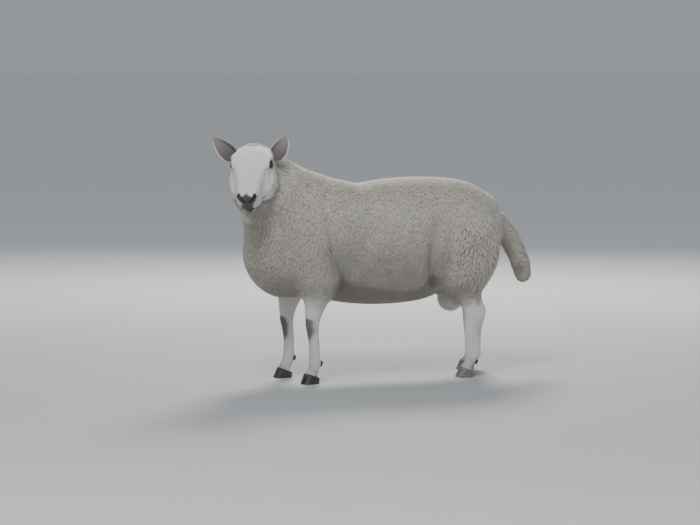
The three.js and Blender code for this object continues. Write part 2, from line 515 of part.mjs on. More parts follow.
// A closed tube of rings round an upright axis, every point moved out to where the field ends.
function tube(field, axis, z0, z1, rings, sides, reach) {
  const g = new THREE.CylinderGeometry(1, 1, 1, sides, rings), p = g.attributes.position;
  for (let i = 0; i < p.count; i++) {
    const z = mix(z0, z1, p.getY(i) + 0.5), [cx, cy] = axis(z), r = Math.hypot(p.getX(i), p.getZ(i));
    if (r < 1e-6) { p.setXYZ(i, cx, cy, z); continue; }
    const dx = p.getX(i) / r, dy = -p.getZ(i) / r, a = edge(field, cx, cy, z, dx, dy, reach);
    p.setXYZ(i, cx + dx * a, cy + dy * a, z);
  }
  return g;
}
for (const [name, leg] of Object.entries(LEGS)) {
  const fore = leg.rows === FORE, s = leg.side, b = legBox[name], mid = fore ? KNEE_CUT : HOCK_CUT;
  const upper = solid(skin(whole, steps(b[0][0] - 20, b[1][0] + 20, fore ? 20 : 23), steps(b[0][1], b[1][1], 20), steps(mid - 30, b[1][2] + 40, 24)))
    .intersect(block([b[0][0], b[0][1], mid], b[1], -CUT));
  add(name + "_upper", largest(upper), fore ? HAIR : FLEECE);
  const lowerSkin = tube(whole, leg.axis, 8, mid + 10, 10, 12, 70);
  // the foot frame: heading of the toes, and the slanting plane of the coronets
  const turn = new THREE.Matrix4().makeRotationZ(-s * leg.toe).setPosition(leg.foot, s * LEG_Y, 0);   // local -X to the toe
  const slope = Math.atan2(CLAW.front - CLAW.heel, CLAW.long);
  const coronet = (side) => {
    const m = new THREE.Matrix4().makeRotationY(slope).setPosition(0, 0, (CLAW.front + CLAW.heel) / 2).premultiply(turn);
    return side > 0 ? block([-BIG, -BIG, CUT], [BIG, BIG, BIG], 0, m) : block([-BIG, -BIG, -BIG], [BIG, BIG, -CUT], 0, m);
  };
  const lower = solid(lowerSkin).intersect(coronet(1)).intersect(block([-BIG, -BIG, -BIG], [BIG, BIG, mid], -CUT));
  add(name + "_lower", largest(lower), HAIR);
  const lowerRoom = grown(lowerSkin, 2 * CUT);
  for (const [which, c] of [["outer", s], ["inner", -s]]) {
    // a claw: flat sole, blunt pointed toe, walls leaning back up to the coronet
    const g = new THREE.CylinderGeometry(1, 1, 1, 14, 1), p = g.attributes.position;
    for (let i = 0; i < p.count; i++) {
      const h = p.getY(i) + 0.5, r = Math.hypot(p.getX(i), p.getZ(i)), k = Math.min(r, 1);
      const q = Math.atan2(p.getZ(i), -p.getX(i)), fx = Math.cos(q), fy = Math.sin(q);
      const long = (fx > 0 ? 0.58 : 0.40) * CLAW.long * mix(1, 0.74, h), wide = (CLAW.wide / 2) * mix(1, 0.93, h);
      // the inner wall is nearly straight, the outer one curves in to a toe that lies near the cleft
      const round = Math.sign(fy) * Math.pow(Math.abs(fy), fy < 0 ? 0.4 : 0.72) * (fx > 0 ? 1 - 0.25 * fx * fx : 1);
      const x = -Math.sign(fx) * Math.pow(Math.abs(fx), 0.85) * long * k + 13 * h;
      const y = c * (CLAW.split + wide * (1 + round * k) - 0.35 * wide * k * Math.pow(Math.max(0, fx), 3));
      p.setXYZ(i, x, y, h * (CLAW.front + 4));
    }
    g.applyMatrix4(turn);
    let m = solid(g);
    if (m.volume() < 0) { g.index.array.reverse(); m = solid(g); }
    add(name + "_claw_" + which, largest(m.intersect(coronet(-1))), HORN);
    // the dewclaw above the heel
    const dz = fore ? DEW.fore : DEW.hind, [ax, ay] = leg.axis(dz), q = -s * leg.toe + c * 0.62, out = edge(whole, ax, ay, dz, Math.cos(q), Math.sin(q), 70) - 2.5;
    const dew = new THREE.SphereGeometry(1, 6, 5).scale(8.5, 7, 12).rotateY(0.35).rotateZ(q).translate(ax + out * Math.cos(q), ay + out * Math.sin(q), dz);
    add(name + "_dewclaw_" + which, largest(solid(dew).subtract(lowerRoom)), HORN);
  }
}

// the plan centre of the whole animal goes to the origin, its soles to the floor
const bounds = new THREE.Box3().setFromObject(sheep), middle = bounds.getCenter(new THREE.Vector3());
for (const mesh of sheep.children) mesh.geometry.translate(-middle.x, -middle.y, -bounds.min.z);

export default sheep;
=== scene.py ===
import math
import time

import bpy
import numpy as np
from mathutils import Matrix, Vector


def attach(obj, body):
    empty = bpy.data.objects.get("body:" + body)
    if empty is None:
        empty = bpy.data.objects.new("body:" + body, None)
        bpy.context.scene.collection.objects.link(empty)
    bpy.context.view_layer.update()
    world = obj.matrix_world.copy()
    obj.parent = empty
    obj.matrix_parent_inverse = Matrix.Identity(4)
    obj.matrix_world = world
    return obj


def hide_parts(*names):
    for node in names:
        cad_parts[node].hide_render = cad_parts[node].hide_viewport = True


START = time.time()
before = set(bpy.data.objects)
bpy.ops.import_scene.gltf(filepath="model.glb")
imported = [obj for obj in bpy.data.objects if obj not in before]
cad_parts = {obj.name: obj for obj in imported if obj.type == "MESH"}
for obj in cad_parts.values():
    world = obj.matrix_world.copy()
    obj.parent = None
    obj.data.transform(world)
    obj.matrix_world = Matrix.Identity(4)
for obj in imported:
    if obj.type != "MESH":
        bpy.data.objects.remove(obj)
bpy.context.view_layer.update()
SHIFT = np.array([28.910847, 31.063561, 0.0])     # working frame to row frame


def row(p):
    return (np.asarray(p) + SHIFT) / 1000.0


# ---------------------------------------------------------------- small maths
def unit(v):
    return v / np.maximum(np.linalg.norm(v, axis=-1, keepdims=True), 1e-12)


def mix(a, b, t):
    return a + (b - a) * t


def ramp(x, a, b):
    t = np.clip((x - a) / (b - a), 0, 1)
    return t * t * (3 - 2 * t)


def bell(x, w):
    return np.exp(-(x / w) ** 2)


def smin(a, b, k):
    h = np.maximum(k - np.abs(a - b), 0) / k
    return np.minimum(a, b) - h * h * k * 0.25


def hashed(i, seed):
    """A repeatable number from 0 to 1 for each integer."""
    h = (i.astype(np.uint64) * np.uint64(0x9E3779B97F4A7C15) + np.uint64(seed * 7919 + 13)) & np.uint64(0xFFFFFFFFFFFFFFFF)
    h ^= h >> np.uint64(31)
    h = (h * np.uint64(0xBF58476D1CE4E5B9)) & np.uint64(0xFFFFFFFFFFFFFFFF)
    h ^= h >> np.uint64(29)
    return (h >> np.uint64(11)).astype(float) / float(1 << 53)


def noise(p, scale, seed=1):
    """Smooth value noise of points p (n, 3), with cells of the given size or sizes, from -1 to 1."""
    q = p / np.asarray(scale, float) + 1000.0
    i = np.floor(q).astype(np.int64)
    f = q - i
    f = f * f * (3 - 2 * f)
    out = np.zeros(len(p))
    for cx in (0, 1):
        for cy in (0, 1):
            for cz in (0, 1):
                key = (i[:, 0] + cx) * 73856093 ^ (i[:, 1] + cy) * 19349663 ^ (i[:, 2] + cz) * 83492791
                w = (f[:, 0] if cx else 1 - f[:, 0]) * (f[:, 1] if cy else 1 - f[:, 1]) * (f[:, 2] if cz else 1 - f[:, 2])
                out += w * hashed(key & 0x7FFFFFFF, seed)
    return out * 2 - 1


# ---------------------------------------------------------------- forms, negative inside
def tabulated(rows):
    """A smooth curve through each column of a table, read off at every half millimetre."""
    r = np.array(rows, float)
    x, n = r[:, 0], len(r)
    lo, hi = np.maximum(np.arange(n) - 1, 0), np.minimum(np.arange(n) + 1, n - 1)
    m = (r[hi] - r[lo]) / (x[hi] - x[lo])[:, None]
    s = np.arange(x[0], x[-1] + 0.5, 0.5)
    i = np.clip(np.searchsorted(x, s, side="right") - 1, 0, n - 2)
    h = (x[i + 1] - x[i])[:, None]
    t = np.clip((s - x[i])[:, None] / h, 0, 1)
    y = r[i] * (2 * t**3 - 3 * t**2 + 1) + m[i] * h * (t**3 - 2 * t**2 + t) + r[i + 1] * (3 * t**2 - 2 * t**3) + m[i + 1] * h * (t**3 - t**2)
    return x[0], x[-1], y[:, 1:]


def read(tab, e):
    q = (e - tab[0]) * 2
    i = np.clip(q.astype(int), 0, len(tab[2]) - 2)
    f = (q - i)[:, None]
    return tab[2][i] * (1 - f) + tab[2][i + 1] * f


def loft(rows, cap0, cap1):
    tab = tabulated(rows)

    def form(s, u, v):
        e = np.clip(s, tab[0], tab[1])
        ds = s - e
        c = read(tab, e)
        du, dv = u - c[:, 0], v - c[:, 1]
        up = dv > 0
        n = np.where(up, c[:, 5], c[:, 6])
        g2 = ((np.abs(du) / c[:, 2]) ** n + (np.abs(dv) / np.where(up, c[:, 3], c[:, 4])) ** n) ** (1 / n)
        g = np.sqrt(g2**2 + (ds / np.where(ds < 0, cap0, cap1)) ** 2)
        r = np.sqrt(du**2 + dv**2 + ds**2)
        return np.where(g < 1e-6, -c[:, 2], r * (1 - 1 / np.maximum(g, 1e-6)))

    return form


def oval(x, y, z, cx, cy, cz, rx, ry, rz, tilt=0.0):
    c, s = math.cos(tilt), math.sin(tilt)
    dx, dy, dz = x - cx, y - cy, z - cz
    g = np.sqrt(((c * dx - s * dz) / rx) ** 2 + (dy / ry) ** 2 + ((s * dx + c * dz) / rz) ** 2)
    r = np.sqrt(dx**2 + dy**2 + dz**2)
    return np.where(g < 1e-6, -min(rx, ry, rz), r * (1 - 1 / np.maximum(g, 1e-6)))


def bar(p, a, b, ra, rb):
    a, b = np.array(a, float), np.array(b, float)
    ab = b - a
    t = np.clip((p - a) @ ab / (ab @ ab), 0, 1)
    return np.linalg.norm(p - a - t[:, None] * ab, axis=1) - mix(ra, rb, t)


def chain(p, points, k):
    out = None
    for a, b in zip(points[:-1], points[1:]):
        d = bar(p, a[:3], b[:3], a[3], b[3])
        out = d if out is None else smin(out, d, k)
    return out


# ---------------------------------------------------------------- the body's tables
TRUNK = [
    [-400, 0, 560, 128, 172, 215, 2.1, 2.0], [-330, 0, 555, 160, 198, 226, 2.2, 2.0], [-250, 0, 550, 174, 212, 238, 2.3, 1.9],
    [-170, 0, 545, 182, 214, 250, 2.4, 1.8], [-95, 0, 540, 192, 216, 254, 2.4, 1.75], [0, 0, 540, 200, 230, 258, 2.4, 1.75],
    [90, 0, 542, 203, 234, 256, 2.4, 1.75], [170, 0, 548, 201, 229, 250, 2.4, 1.8], [240, 0, 558, 196, 216, 232, 2.4, 1.9],
    [300, 0, 572, 186, 195, 200, 2.3, 2.0], [350, 0, 580, 170, 176, 165, 2.2, 2.0], [400, 0, 585, 146, 148, 130, 2.1, 2.0],
    [440, 0, 590, 112, 118, 100, 2.0, 2.0],
]
NECK = [(-262, 0, 590, 182), (-360, -6, 652, 163), (-428, -16, 704, 142), (-464, -14, 746, 126), (-482, -12, 772, 112)]
RUFF = dict(at=np.array([-516.0, -50, 764]), turn=64, across=82, tall=100, thick=28)
TAIL = [(420, 0, 598, 62), (478, 0, 584, 53), (528, 0, 540, 43), (561, 0, 486, 39), (585, 0, 430, 38), (596, 0, 384, 35)]
SKULL = [
    [-2, 0, -62, 70, 47, 60, 2.0, 2.0], [20, 0, -58, 76, 58, 74, 2.1, 2.0], [50, 0, -52, 77, 62, 86, 2.5, 2.0],
    [85, 0, -48, 74, 60, 92, 2.7, 2.0], [118, 0, -47, 67, 59, 88, 2.5, 2.1], [150, 0, -46, 58, 56, 76, 2.4, 2.2],
    [180, 0, -46, 49, 53, 62, 2.3, 2.3], [206, 0, -46, 46, 46, 54, 2.4, 2.4], [226, 0, -48, 40, 38, 46, 2.4, 2.4],
]
FORE = [
    [26, -14, 30, 30, 27, 2.3, 2.1], [44, -7, 27, 25, 23, 2.2, 2.0], [62, 1, 25, 23, 24, 2.1, 2.0], [80, 3, 24, 22, 26, 2.1, 2.0],
    [105, 2, 21, 21, 23, 2.2, 2.0], [150, 1, 20, 21.5, 23, 2.2, 2.0], [190, -2, 22, 24, 22, 2.3, 2.1], [222, -4, 26, 28, 25, 2.4, 2.1],
    [250, -2, 27, 31, 31, 2.2, 2.0], [290, 5, 33, 40, 42, 2.1, 2.0], [330, 14, 40, 52, 52, 2.0, 2.0], [380, 22, 46, 66, 64, 2.0, 2.0],
]
HIND = [
    [26, -26, 30, 30, 29, 2.3, 2.1], [44, -16, 26, 26, 24, 2.2, 2.0], [62, -4, 25, 24, 25, 2.1, 2.0], [80, 1, 26, 26, 36, 2.1, 2.0],
    [105, 1, 24, 27, 37, 2.2, 2.0], [150, 0, 24, 28, 39, 2.2, 2.0], [195, 2, 25, 31, 42, 2.3, 2.1], [232, 6, 28, 35, 50, 2.3, 2.2],
    [262, 4, 28, 41, 57, 2.2, 1.8], [290, -4, 29, 49, 52, 2.1, 1.9], [320, -18, 36, 60, 56, 2.0, 2.0], [360, -36, 46, 78, 84, 2.0, 2.0],
    [400, -44, 56, 98, 108, 2.0, 2.0],
]
LEG_Y = 108
LEGS = {
    "foreleg_left": dict(fore=True, x=-311, top=-311, side=-1, lean=0, toe=0.42),
    "foreleg_right": dict(fore=True, x=-338, top=-350, side=1, lean=-12, toe=-0.05),
    "hindleg_left": dict(fore=False, x=335, top=335, side=-1, lean=0, toe=0.10),
    "hindleg_right": dict(fore=False, x=421, top=405, side=1, lean=4, toe=0.12),
}
for leg in LEGS.values():
    placed = []
    for z, dx, w, front, back, n1, n2 in FORE if leg["fore"] else HIND:
        up = min(max((z - 60) / (260 if leg["fore"] else 300), 0), 1)
        cx = mix(leg["x"] + leg["lean"] * min(max((200 - z) / 150, 0), 1), leg["top"], up * up * (3 - 2 * up)) + dx
        placed.append([z, leg["side"] * (LEG_Y - 4 * up), -cx, w, front, back, n1, n2])
    leg["form"] = loft(placed, 20, 40 if leg["fore"] else 100)
    leg["tab"] = tabulated(placed)
    leg["foot"] = leg["x"] + leg["lean"] + (FORE if leg["fore"] else HIND)[0][1]


def leg_axis(leg, z):
    c = read(leg["tab"], np.clip(z, leg["tab"][0], leg["tab"][1]))
    return -c[:, 1], c[:, 0]


# the head's own axes: a down the face to the nose, l to the animal's left (as the camera sees it), d out of the face
TURN, DROP = math.radians(64), math.radians(50)
POLL = np.array([-557.0, -126, 917])
FORWARD = np.array([-math.cos(TURN), -math.sin(TURN), 0])
AXIS_A = FORWARD * math.cos(DROP) + np.array([0, 0, -math.sin(DROP)])
AXIS_D = FORWARD * math.sin(DROP) + np.array([0, 0, math.cos(DROP)])
AXIS_L = np.array([-FORWARD[1], FORWARD[0], 0])
BASIS = np.stack([AXIS_A, AXIS_L, AXIS_D])
# the eye looks out along EYE_OUT, its opening is an almond with its inner corner towards EYE_LONG
EYE_AT, EYE_R = np.array([76.0, 63.5, -36]), 15.4
EYE_OUT = unit(np.array([0.12, 0.82, 0.56]))
_e = unit(np.array([1.0, 0, 0]) - EYE_OUT * EYE_OUT[0])
_u = np.cross(EYE_OUT, _e)
_u = _u if _u[2] > 0 else -_u
EYE_LONG = _e * math.cos(0.30) + _u * math.sin(0.30)
EYE_UP = -_e * math.sin(0.30) + _u * math.cos(0.30)


def to_head(p):
    return (p - POLL) @ BASIS.T


def from_head(q):
    return np.asarray(q) @ BASIS + POLL


skull = loft(SKULL, 24, 22)


def dish(h):
    """The shallow hollow that the eye looks out of."""
    t = h - EYE_AT
    u, v, w = t @ EYE_LONG, t @ EYE_UP, t @ EYE_OUT
    return oval(u, v, w, 0, 0, 19.5, 20, 15, 9.5)



def head_form(q):
    a, l, d = q.T
    s = np.abs(l)                                     # the two halves are alike
    f = skull(a, l, d)
    f = smin(f, oval(a, s, d, 72, 61, -17, 32, 20, 17), 18)
    f = smin(f, oval(a, s, d, 120, 49, -91, 72, 38, 50), 26)
    f = -smin(-f, dish(np.stack([a, s, d], 1)), 9)
    f = smin(f, oval(a, l, d, -4, 0, -40, 22, 34, 24), 8)
    f = smin(f, oval(a, l, d, 216, 0, -66, 31, 44, 32), 16)
    f = smin(f, oval(a, l, d, 209, 0, -102, 36, 29, 20), 16)
    return smin(f, oval(a, l, d, 228, 0, -28, 22, 34, 24), 14)


def torso(p):
    x, y, z = p.T
    s = np.abs(y)
    f = TRUNK_FORM(x, y, z)
    f = smin(f, oval(x, y, z, -402, 0, 496, 153, 148, 169), 60)
    f = smin(f, oval(x, s, z, -300, 92, 500, 118, 82, 150, 0.12), 50)
    f = smin(f, oval(x, s, z, -285, 112, 405, 82, 56, 92, 0.1), 40)
    left = np.where(y < 0, -1.0, 1.0)
    for shift, args, k in (
        (6, (332, 96, 520, 122, 92, 170, -0.10), 50),
        (14, (292, 110, 425, 92, 62, 92, 0.5), 40),
        (8, (388, 94, 470, 54, 60, 128, 0.12), 40),
    ):
        f = smin(f, oval(x - shift * left, s, z, *args), k)
    return f


TRUNK_FORM = loft(TRUNK, 110, 46)


def inside_box(p, lo, hi):
    return np.all((p >= np.array(lo)) & (p <= np.array(hi)), axis=1)


SHOULDER_FOLD = [(-292, 640), (-276, 560), (-266, 500), (-245, 464), (-214, 420), (-206, 380), (-212, 330)]
FLANK_FOLD = [(176, 660), (152, 600), (138, 530), (130, 468), (142, 414), (168, 372)]
# BELLY_EDGE: the line below which the belly is painted darker, partly as stained wool, partly as painted shade
BELLY_EDGE = np.array([(-260, 402), (-208, 418), (-131, 395), (-30, 377), (56, 366), (95, 373), (126, 396), (150, 420), (200, 430)], float)


def off_line(p, line):
    """Distance from a line drawn on the side of the body, and how far behind it."""
    best, behind = np.full(len(p), 1e9), np.zeros(len(p))
    q = p[:, [0, 2]]
    for a, b in zip(line[:-1], line[1:]):
        a, b = np.array(a, float), np.array(b, float)
        t = np.clip(((q - a) @ (b - a)) / ((b - a) @ (b - a)), 0, 1)
        v = q - a - t[:, None] * (b - a)
        d = np.hypot(v[:, 0], v[:, 1])
        m = d < best
        best[m], behind[m] = d[m], v[m, 0]
    return best, behind


def folds(p):
    """How far the side of the body is pressed in along the folds of shoulder and flank."""
    side = ramp(np.abs(p[:, 1]), 60, 110)
    d, behind = off_line(p, SHOULDER_FOLD)
    low = 1 - ramp(p[:, 2], 470, 650)
    f = (4.0 + 6.0 * low) * bell(d, 13 + 7 * (behind > 0)) - 2.0 * low * bell(d - 42, 22) * (behind < 0)
    d, behind = off_line(p, FLANK_FOLD)
    low = 1 - ramp(p[:, 2], 500, 680)
    f = f + (3.0 + 7.0 * low) * bell(d, 13 + 8 * (behind < 0)) - 1.5 * low * bell(d - 40, 20) * (behind > 0)
    return f * side


def outer(p):
    """The outer form of the coat, the same as the solids' but for the folds."""
    f = torso(p)
    m = inside_box(p, (-340, -260, 300), (230, 260, 700))
    if m.any():
        f[m] += folds(p[m])
    m = inside_box(p, (-760, -360, 350), (-40, 240, 1000))
    if m.any():
        q = p[m]
        g = smin(f[m], chain(q, NECK, 30), 70)
        t = q - RUFF["at"]
        along, b, c = t @ FORWARD, t @ AXIS_L, t[:, 2]
        e = np.hypot(b / RUFF["across"], c / RUFF["tall"])
        flat = np.where(e < 1e-6, RUFF["across"], np.hypot(b, c) * (1 - 1 / np.maximum(e, 1e-6)))
        g = smin(g, np.hypot(flat, along) - RUFF["thick"], 30)
        f[m] = smin(g, head_form(to_head(q)), 26)
    for leg in LEGS.values():
        x0 = leg["top"]
        m = inside_box(p, (x0 - 220, -230 if leg["side"] < 0 else 0, -60), (x0 + 220, 0 if leg["side"] < 0 else 230, 470))
        if m.any():
            q = p[m]
            f[m] = smin(f[m], leg["form"](q[:, 2], q[:, 1], -q[:, 0]), 34)
    m = inside_box(p, (330, -120, 280), (700, 120, 720))
    if m.any():
        f[m] = smin(f[m], chain(p[m], TAIL, 12), 24)
    m = inside_box(p, (150, -120, 180), (400, 120, 500))
    if m.any():
        f[m] = smin(f[m], bar(p[m], (262, 0, 392), (287, 0, 298), 34, 53), 16)
    return f


# ---------------------------------------------------------------- where the wool is, and how deep the coat
def leg_near(p):
    """Which leg a point is nearest to, how far it is from that leg's axis in plan, and its place round it."""
    best, dist, dx_, dy_ = np.zeros(len(p), int), np.full(len(p), 1e9), np.zeros(len(p)), np.zeros(len(p))
    for i, leg in enumerate(LEGS.values()):
        cx, cy = leg_axis(leg, p[:, 2])
        dx, dy = p[:, 0] - cx, p[:, 1] - cy
        r = np.hypot(dx, dy)
        m = r < dist
        best[m], dist[m], dx_[m], dy_[m] = i, r[m], dx[m], dy[m]
    return best, dist, dx_, dy_


def wool(p, gradual=False):
    """1 where the animal carries fleece, 0 where its hair is short. The gradual one grows slowly from the edge, for the fleece's depth."""
    w = np.ones(len(p))
    low = p[:, 2] < 420
    if low.any():
        q = p[low]
        which, r, dx, dy = leg_near(q)
        fore = which < 2
        ragged = 9 * noise(q, 26, 5) + 5 * noise(q, 11, 6)
        hem = np.where(fore, 327 - 0.10 * dx, 288 + 0.28 * np.clip(dx, -60, 60)) + ragged
        covered = ramp(q[:, 2], hem - 8, hem + (40 if gradual else 8))
        near = 1 - ramp(r, np.where(fore, 70, 78), np.where(fore, 92, 104))
        far_in = np.abs(q[:, 1]) < 44
        near = np.where(far_in & (q[:, 2] > 290), near * ramp(np.abs(q[:, 1]), 30, 44), near)
        w[low] = 1 - near * (1 - covered)
    m = inside_box(p, (-760, -330, 560), (-330, 140, 1000))
    if m.any():
        q = to_head(p[m])
        ragged = 6 * noise(p[m], 24, 7) + 3 * noise(p[m], 10, 8)
        edge = face_edge(q) + ragged
        w[m] *= 1 - ramp(q[:, 0], edge - (34 if gradual else 8), edge + 8) * (1 - ramp(head_form(q), 3, 26 if gradual else 12))
    return w


def face_edge(q):
    """How far down the face the wool comes, at a point of the head: past the poll on top, behind the cheek below."""
    below = np.clip(-q[:, 2] - 20, 0, 260)
    return 6 + 56 * (below / 130) ** 1.6 - 10 * ramp(np.abs(q[:, 1]), 30, 62) * (1 - ramp(below, 20, 60))


def coat_depth(p):
    """How far the skin lies inside the outer form."""
    w = wool(p, True)
    full = np.full(len(p), 9.5)
    full -= 1.5 * ramp(-p[:, 2], -360, -290)                                   # belly
    sack = bar(p, (262, 0, 392), (287, 0, 298), 34, 53)
    full = np.where(p[:, 2] < 400, mix(6.0, full, ramp(sack, 6, 26)), full)    # scrotum
    head = p[:, 0] < -400
    if head.any():
        q = to_head(p[head])
        full[head] = mix(full[head], 8.0, 1 - ramp(np.linalg.norm(q - np.array([0, 0, -40]), axis=1), 70, 130))
    return 1.7 + (full - 1.7) * w


# ---------------------------------------------------------------- the face's own shapes, raised and pressed into the skin
NOSTRIL = [(231, 29, -14, 3.6), (236, 29, -18, 5.6), (241, 24, -21, 6.8), (245.5, 17.5, -26, 5.4), (248.5, 11, -33, 3.4), (249.5, 7, -39, 1.8)]


LID = (5.6, 16.6)                                  # the two circles that bound the eye's opening: offset and radius


def halves(q):
    """Head points with both sides folded onto the left one."""
    return np.stack([q[:, 0], np.abs(q[:, 1]), q[:, 2]], 1)


def eye_place(h):
    """Distance from the eye's middle, along its axis, and how far outside the almond of its opening."""
    t = h - EYE_AT
    e1, e2, out = t @ EYE_LONG, t @ EYE_UP, t @ EYE_OUT
    almond = np.maximum(np.hypot(e1, e2 - LID[0]) - LID[1], np.hypot(e1, e2 + LID[0]) - LID[1])
    return np.linalg.norm(t, axis=1), out, e1, e2, almond


def mouth_line(a):
    return -85 + 0.0016 * np.clip(236 - a, 0, 90) ** 2


def face(q, f):
    a, l, d = q.T
    s = np.abs(l)
    h = halves(q)
    # the bony ring round the eye, and the ball of its lids
    dist, out, e1, e2, almond = eye_place(h)
    ring = np.hypot(np.hypot(e1 / 1.1, e2) - 21.5, out - mix(-3.0, 2.2, ramp(e2, -14, 8))) - 4.7
    near = dist < 70
    f = np.where(near, smin(f, ring, 14), f)
    f = np.where(near, smin(f, dist - (EYE_R + 2.3), 5), f)
    outside = ramp(out, 0, 6)
    f = np.where(near, f - 0.9 * bell(almond - 1.9, 1.8) * outside + 1.5 * bell(almond - 6.2, 1.9) * outside * ramp(e2, -2, 6), f)
    f = np.where(near, f + 0.9 * bell(almond - 5.6, 1.8) * outside * ramp(-e2, 2, 8), f)
    # tear groove in front of the eye, and the crest that runs from the ring along the cheek
    f = f + 2.8 * np.exp(-np.maximum(bar(h, (108, 64, -20), (136, 57, -23), 0.0, 0.0), 0) ** 2 / 5.0**2)
    f = f - 2.4 * bell(d + 66 + 0.10 * (a - 120), 9) * ramp(a, 84, 108) * (1 - ramp(a, 150, 186)) * ramp(s, 24, 40)
    f = f + 2.4 * bell(d + 88 - 0.06 * (a - 120), 10) * ramp(a, 128, 150) * (1 - ramp(a, 176, 204)) * ramp(s, 20, 34)
    # the round chewing muscle ends in a soft edge
    f = f + 2.0 * bell(np.hypot(a - 92, d + 92) - 52, 7) * ramp(s, 30, 44) * ramp(a, 88, 110)
    # bridge of the nose: flat between two soft edges, with shallow folds behind the nostrils
    f = f + 1.2 * bell(s - 24, 7) * ramp(a, 96, 120) * (1 - ramp(a, 200, 220)) * ramp(d, -40, -10)
    f = f + 0.55 * np.sin((a - 200 + 0.25 * s) / 2.8) * bell(a - 213, 10) * ramp(d, -40, -12)
    # raised wings of the nostrils, and the flat between them
    f = smin(f, chain(h, [(x - 4, y - 1, z - 3, r + 2.6) for x, y, z, r in NOSTRIL[:4]], 5), 12)
    # lips: a full upper one, a rolled lower one, the chin below a fold
    lip = d - mouth_line(a)
    f = f - 2.0 * bell(lip - 8, 5.5) * ramp(a, 196, 214) - 1.8 * bell(lip + 7, 4.4) * ramp(a, 190, 214)
    f = f + 1.4 * bell(lip + 16, 4.2) * ramp(a, 205, 225)
    # a soft hollow between the jaw bones
    return f + 3.0 * bell(l, 11) * ramp(-d, 96, 120) * (1 - ramp(a, 176, 200)) * ramp(a, 60, 90)


NOSE_IN = unit(np.array([-0.80, -0.34, -0.44]))
_n1 = unit(np.cross(NOSE_IN, [0, 1.0, 0]))
_n2 = np.cross(NOSE_IN, _n1)


def nostril(h):
    """How far outside the nostril's rim a point is, seen along the way in."""
    flat = lambda v: np.stack([v @ _n1, v @ _n2, np.zeros(len(v))], 1)
    c = np.array(NOSTRIL)
    line = np.concatenate([flat(c[:, :3]), c[:, 3:]], 1)
    d = chain(flat(h), line, 2.5)
    return np.where((h[:, 0] > 222) & (h[:, 2] > -58) & (h[:, 1] > 3), d, 20.0)


def pressed(q):
    """How far each surface point of the head goes in, and which way: nostrils, lip groove, mouth."""
    a, l, d = q.T
    deep = 12.0 * ramp(-nostril(halves(q)), -0.9, 3.4)
    back = np.stack([np.full(len(q), NOSE_IN[0]), np.where(l > 0, NOSE_IN[1], -NOSE_IN[1]), np.full(len(q), NOSE_IN[2])], 1)
    lip = d - mouth_line(a)
    corner = ramp(a, 176, 190)
    slit = 4.6 * bell(lip, 1.7) * corner * (1 - 0.3 * ramp(a, 236, 246))
    groove = 2.6 * bell(l, 1.9) * ramp(a, 228, 238) * ramp(lip, 1, 6) * (1 - ramp(d, -36, -28))
    return deep, back, slit + groove


def legs_detail(p, f):
    which, r, dx, dy = leg_near(p)
    z = p[:, 2]
    fore = which < 2
    side = bell(np.abs(dy) - 20, 9)
    # groove between cannon bone and the tendons behind it, hollow before the point of the hock
    f = f + 1.9 * bell(dx - 6, 4.5) * side * ramp(z, 84, 104) * (1 - ramp(z, np.where(fore, 186, 200), np.where(fore, 206, 226)))
    f = f + np.where(fore, 0, 3.6) * bell(dx - 26 - 0.05 * (z - 250), 9) * side * bell(z - 284, 22)
    # knee: a flat front with a lower rim, its side knobs; fetlock knobs
    f = f - np.where(fore, 1.6, 0) * side * bell(z - 214, 10) * bell(dx + 2, 14)
    f = f + np.where(fore, 1.3, 0) * bell(z - 240, 5) * bell(dx + 26, 12)
    f = f - np.where(fore, 0, 1.8) * side * bell(z - 236, 11) * bell(dx - 8, 16)
    # cleft of the foot, front and back
    f = f + 4.5 * bell(dy, 4.0) * (1 - ramp(z, 34, 66))
    return f


def foot_frame(leg):
    """Turn of a foot about Z, and its place."""
    t = -leg["side"] * leg["toe"]
    c, s = math.cos(t), math.sin(t)
    return np.array([[c, s, 0], [-s, c, 0], [0, 0, 1]]), np.array([leg["foot"], leg["side"] * LEG_Y, 0.0])


CLAW = dict(long=68, wide=27.5, front=45, heel=18, split=1.6)
SLOPE = math.atan2(CLAW["front"] - CLAW["heel"], CLAW["long"])


def coronet(leg, p):
    """Height of points above the slanting plane of a foot's coronets."""
    turn, at = foot_frame(leg)
    q = (p - at) @ turn.T
    return (q[:, 2] - (CLAW["front"] + CLAW["heel"]) / 2) * math.cos(SLOPE) + q[:, 0] * math.sin(SLOPE)


def skin_field(p):
    f = outer(p) + coat_depth(p)
    m = p[:, 2] < 330
    if m.any():
        q = p[m]
        g = legs_detail(q, f[m])
        low = q[:, 2] < 80
        if low.any():
            which = leg_near(q[low])[0]
            gl, ql = g[low], q[low]
            for i, leg in enumerate(LEGS.values()):
                k = which == i
                gl[k] = -smin(-gl[k], coronet(leg, ql[k]) + 7.0, 7)
            g[low] = gl
        f[m] = g
    m = inside_box(p, (-760, -330, 620), (-430, 0, 970))
    if m.any():
        q = to_head(p[m])
        f[m] = np.where(q[:, 0] > 20, face(q, f[m]), f[m])
    return f


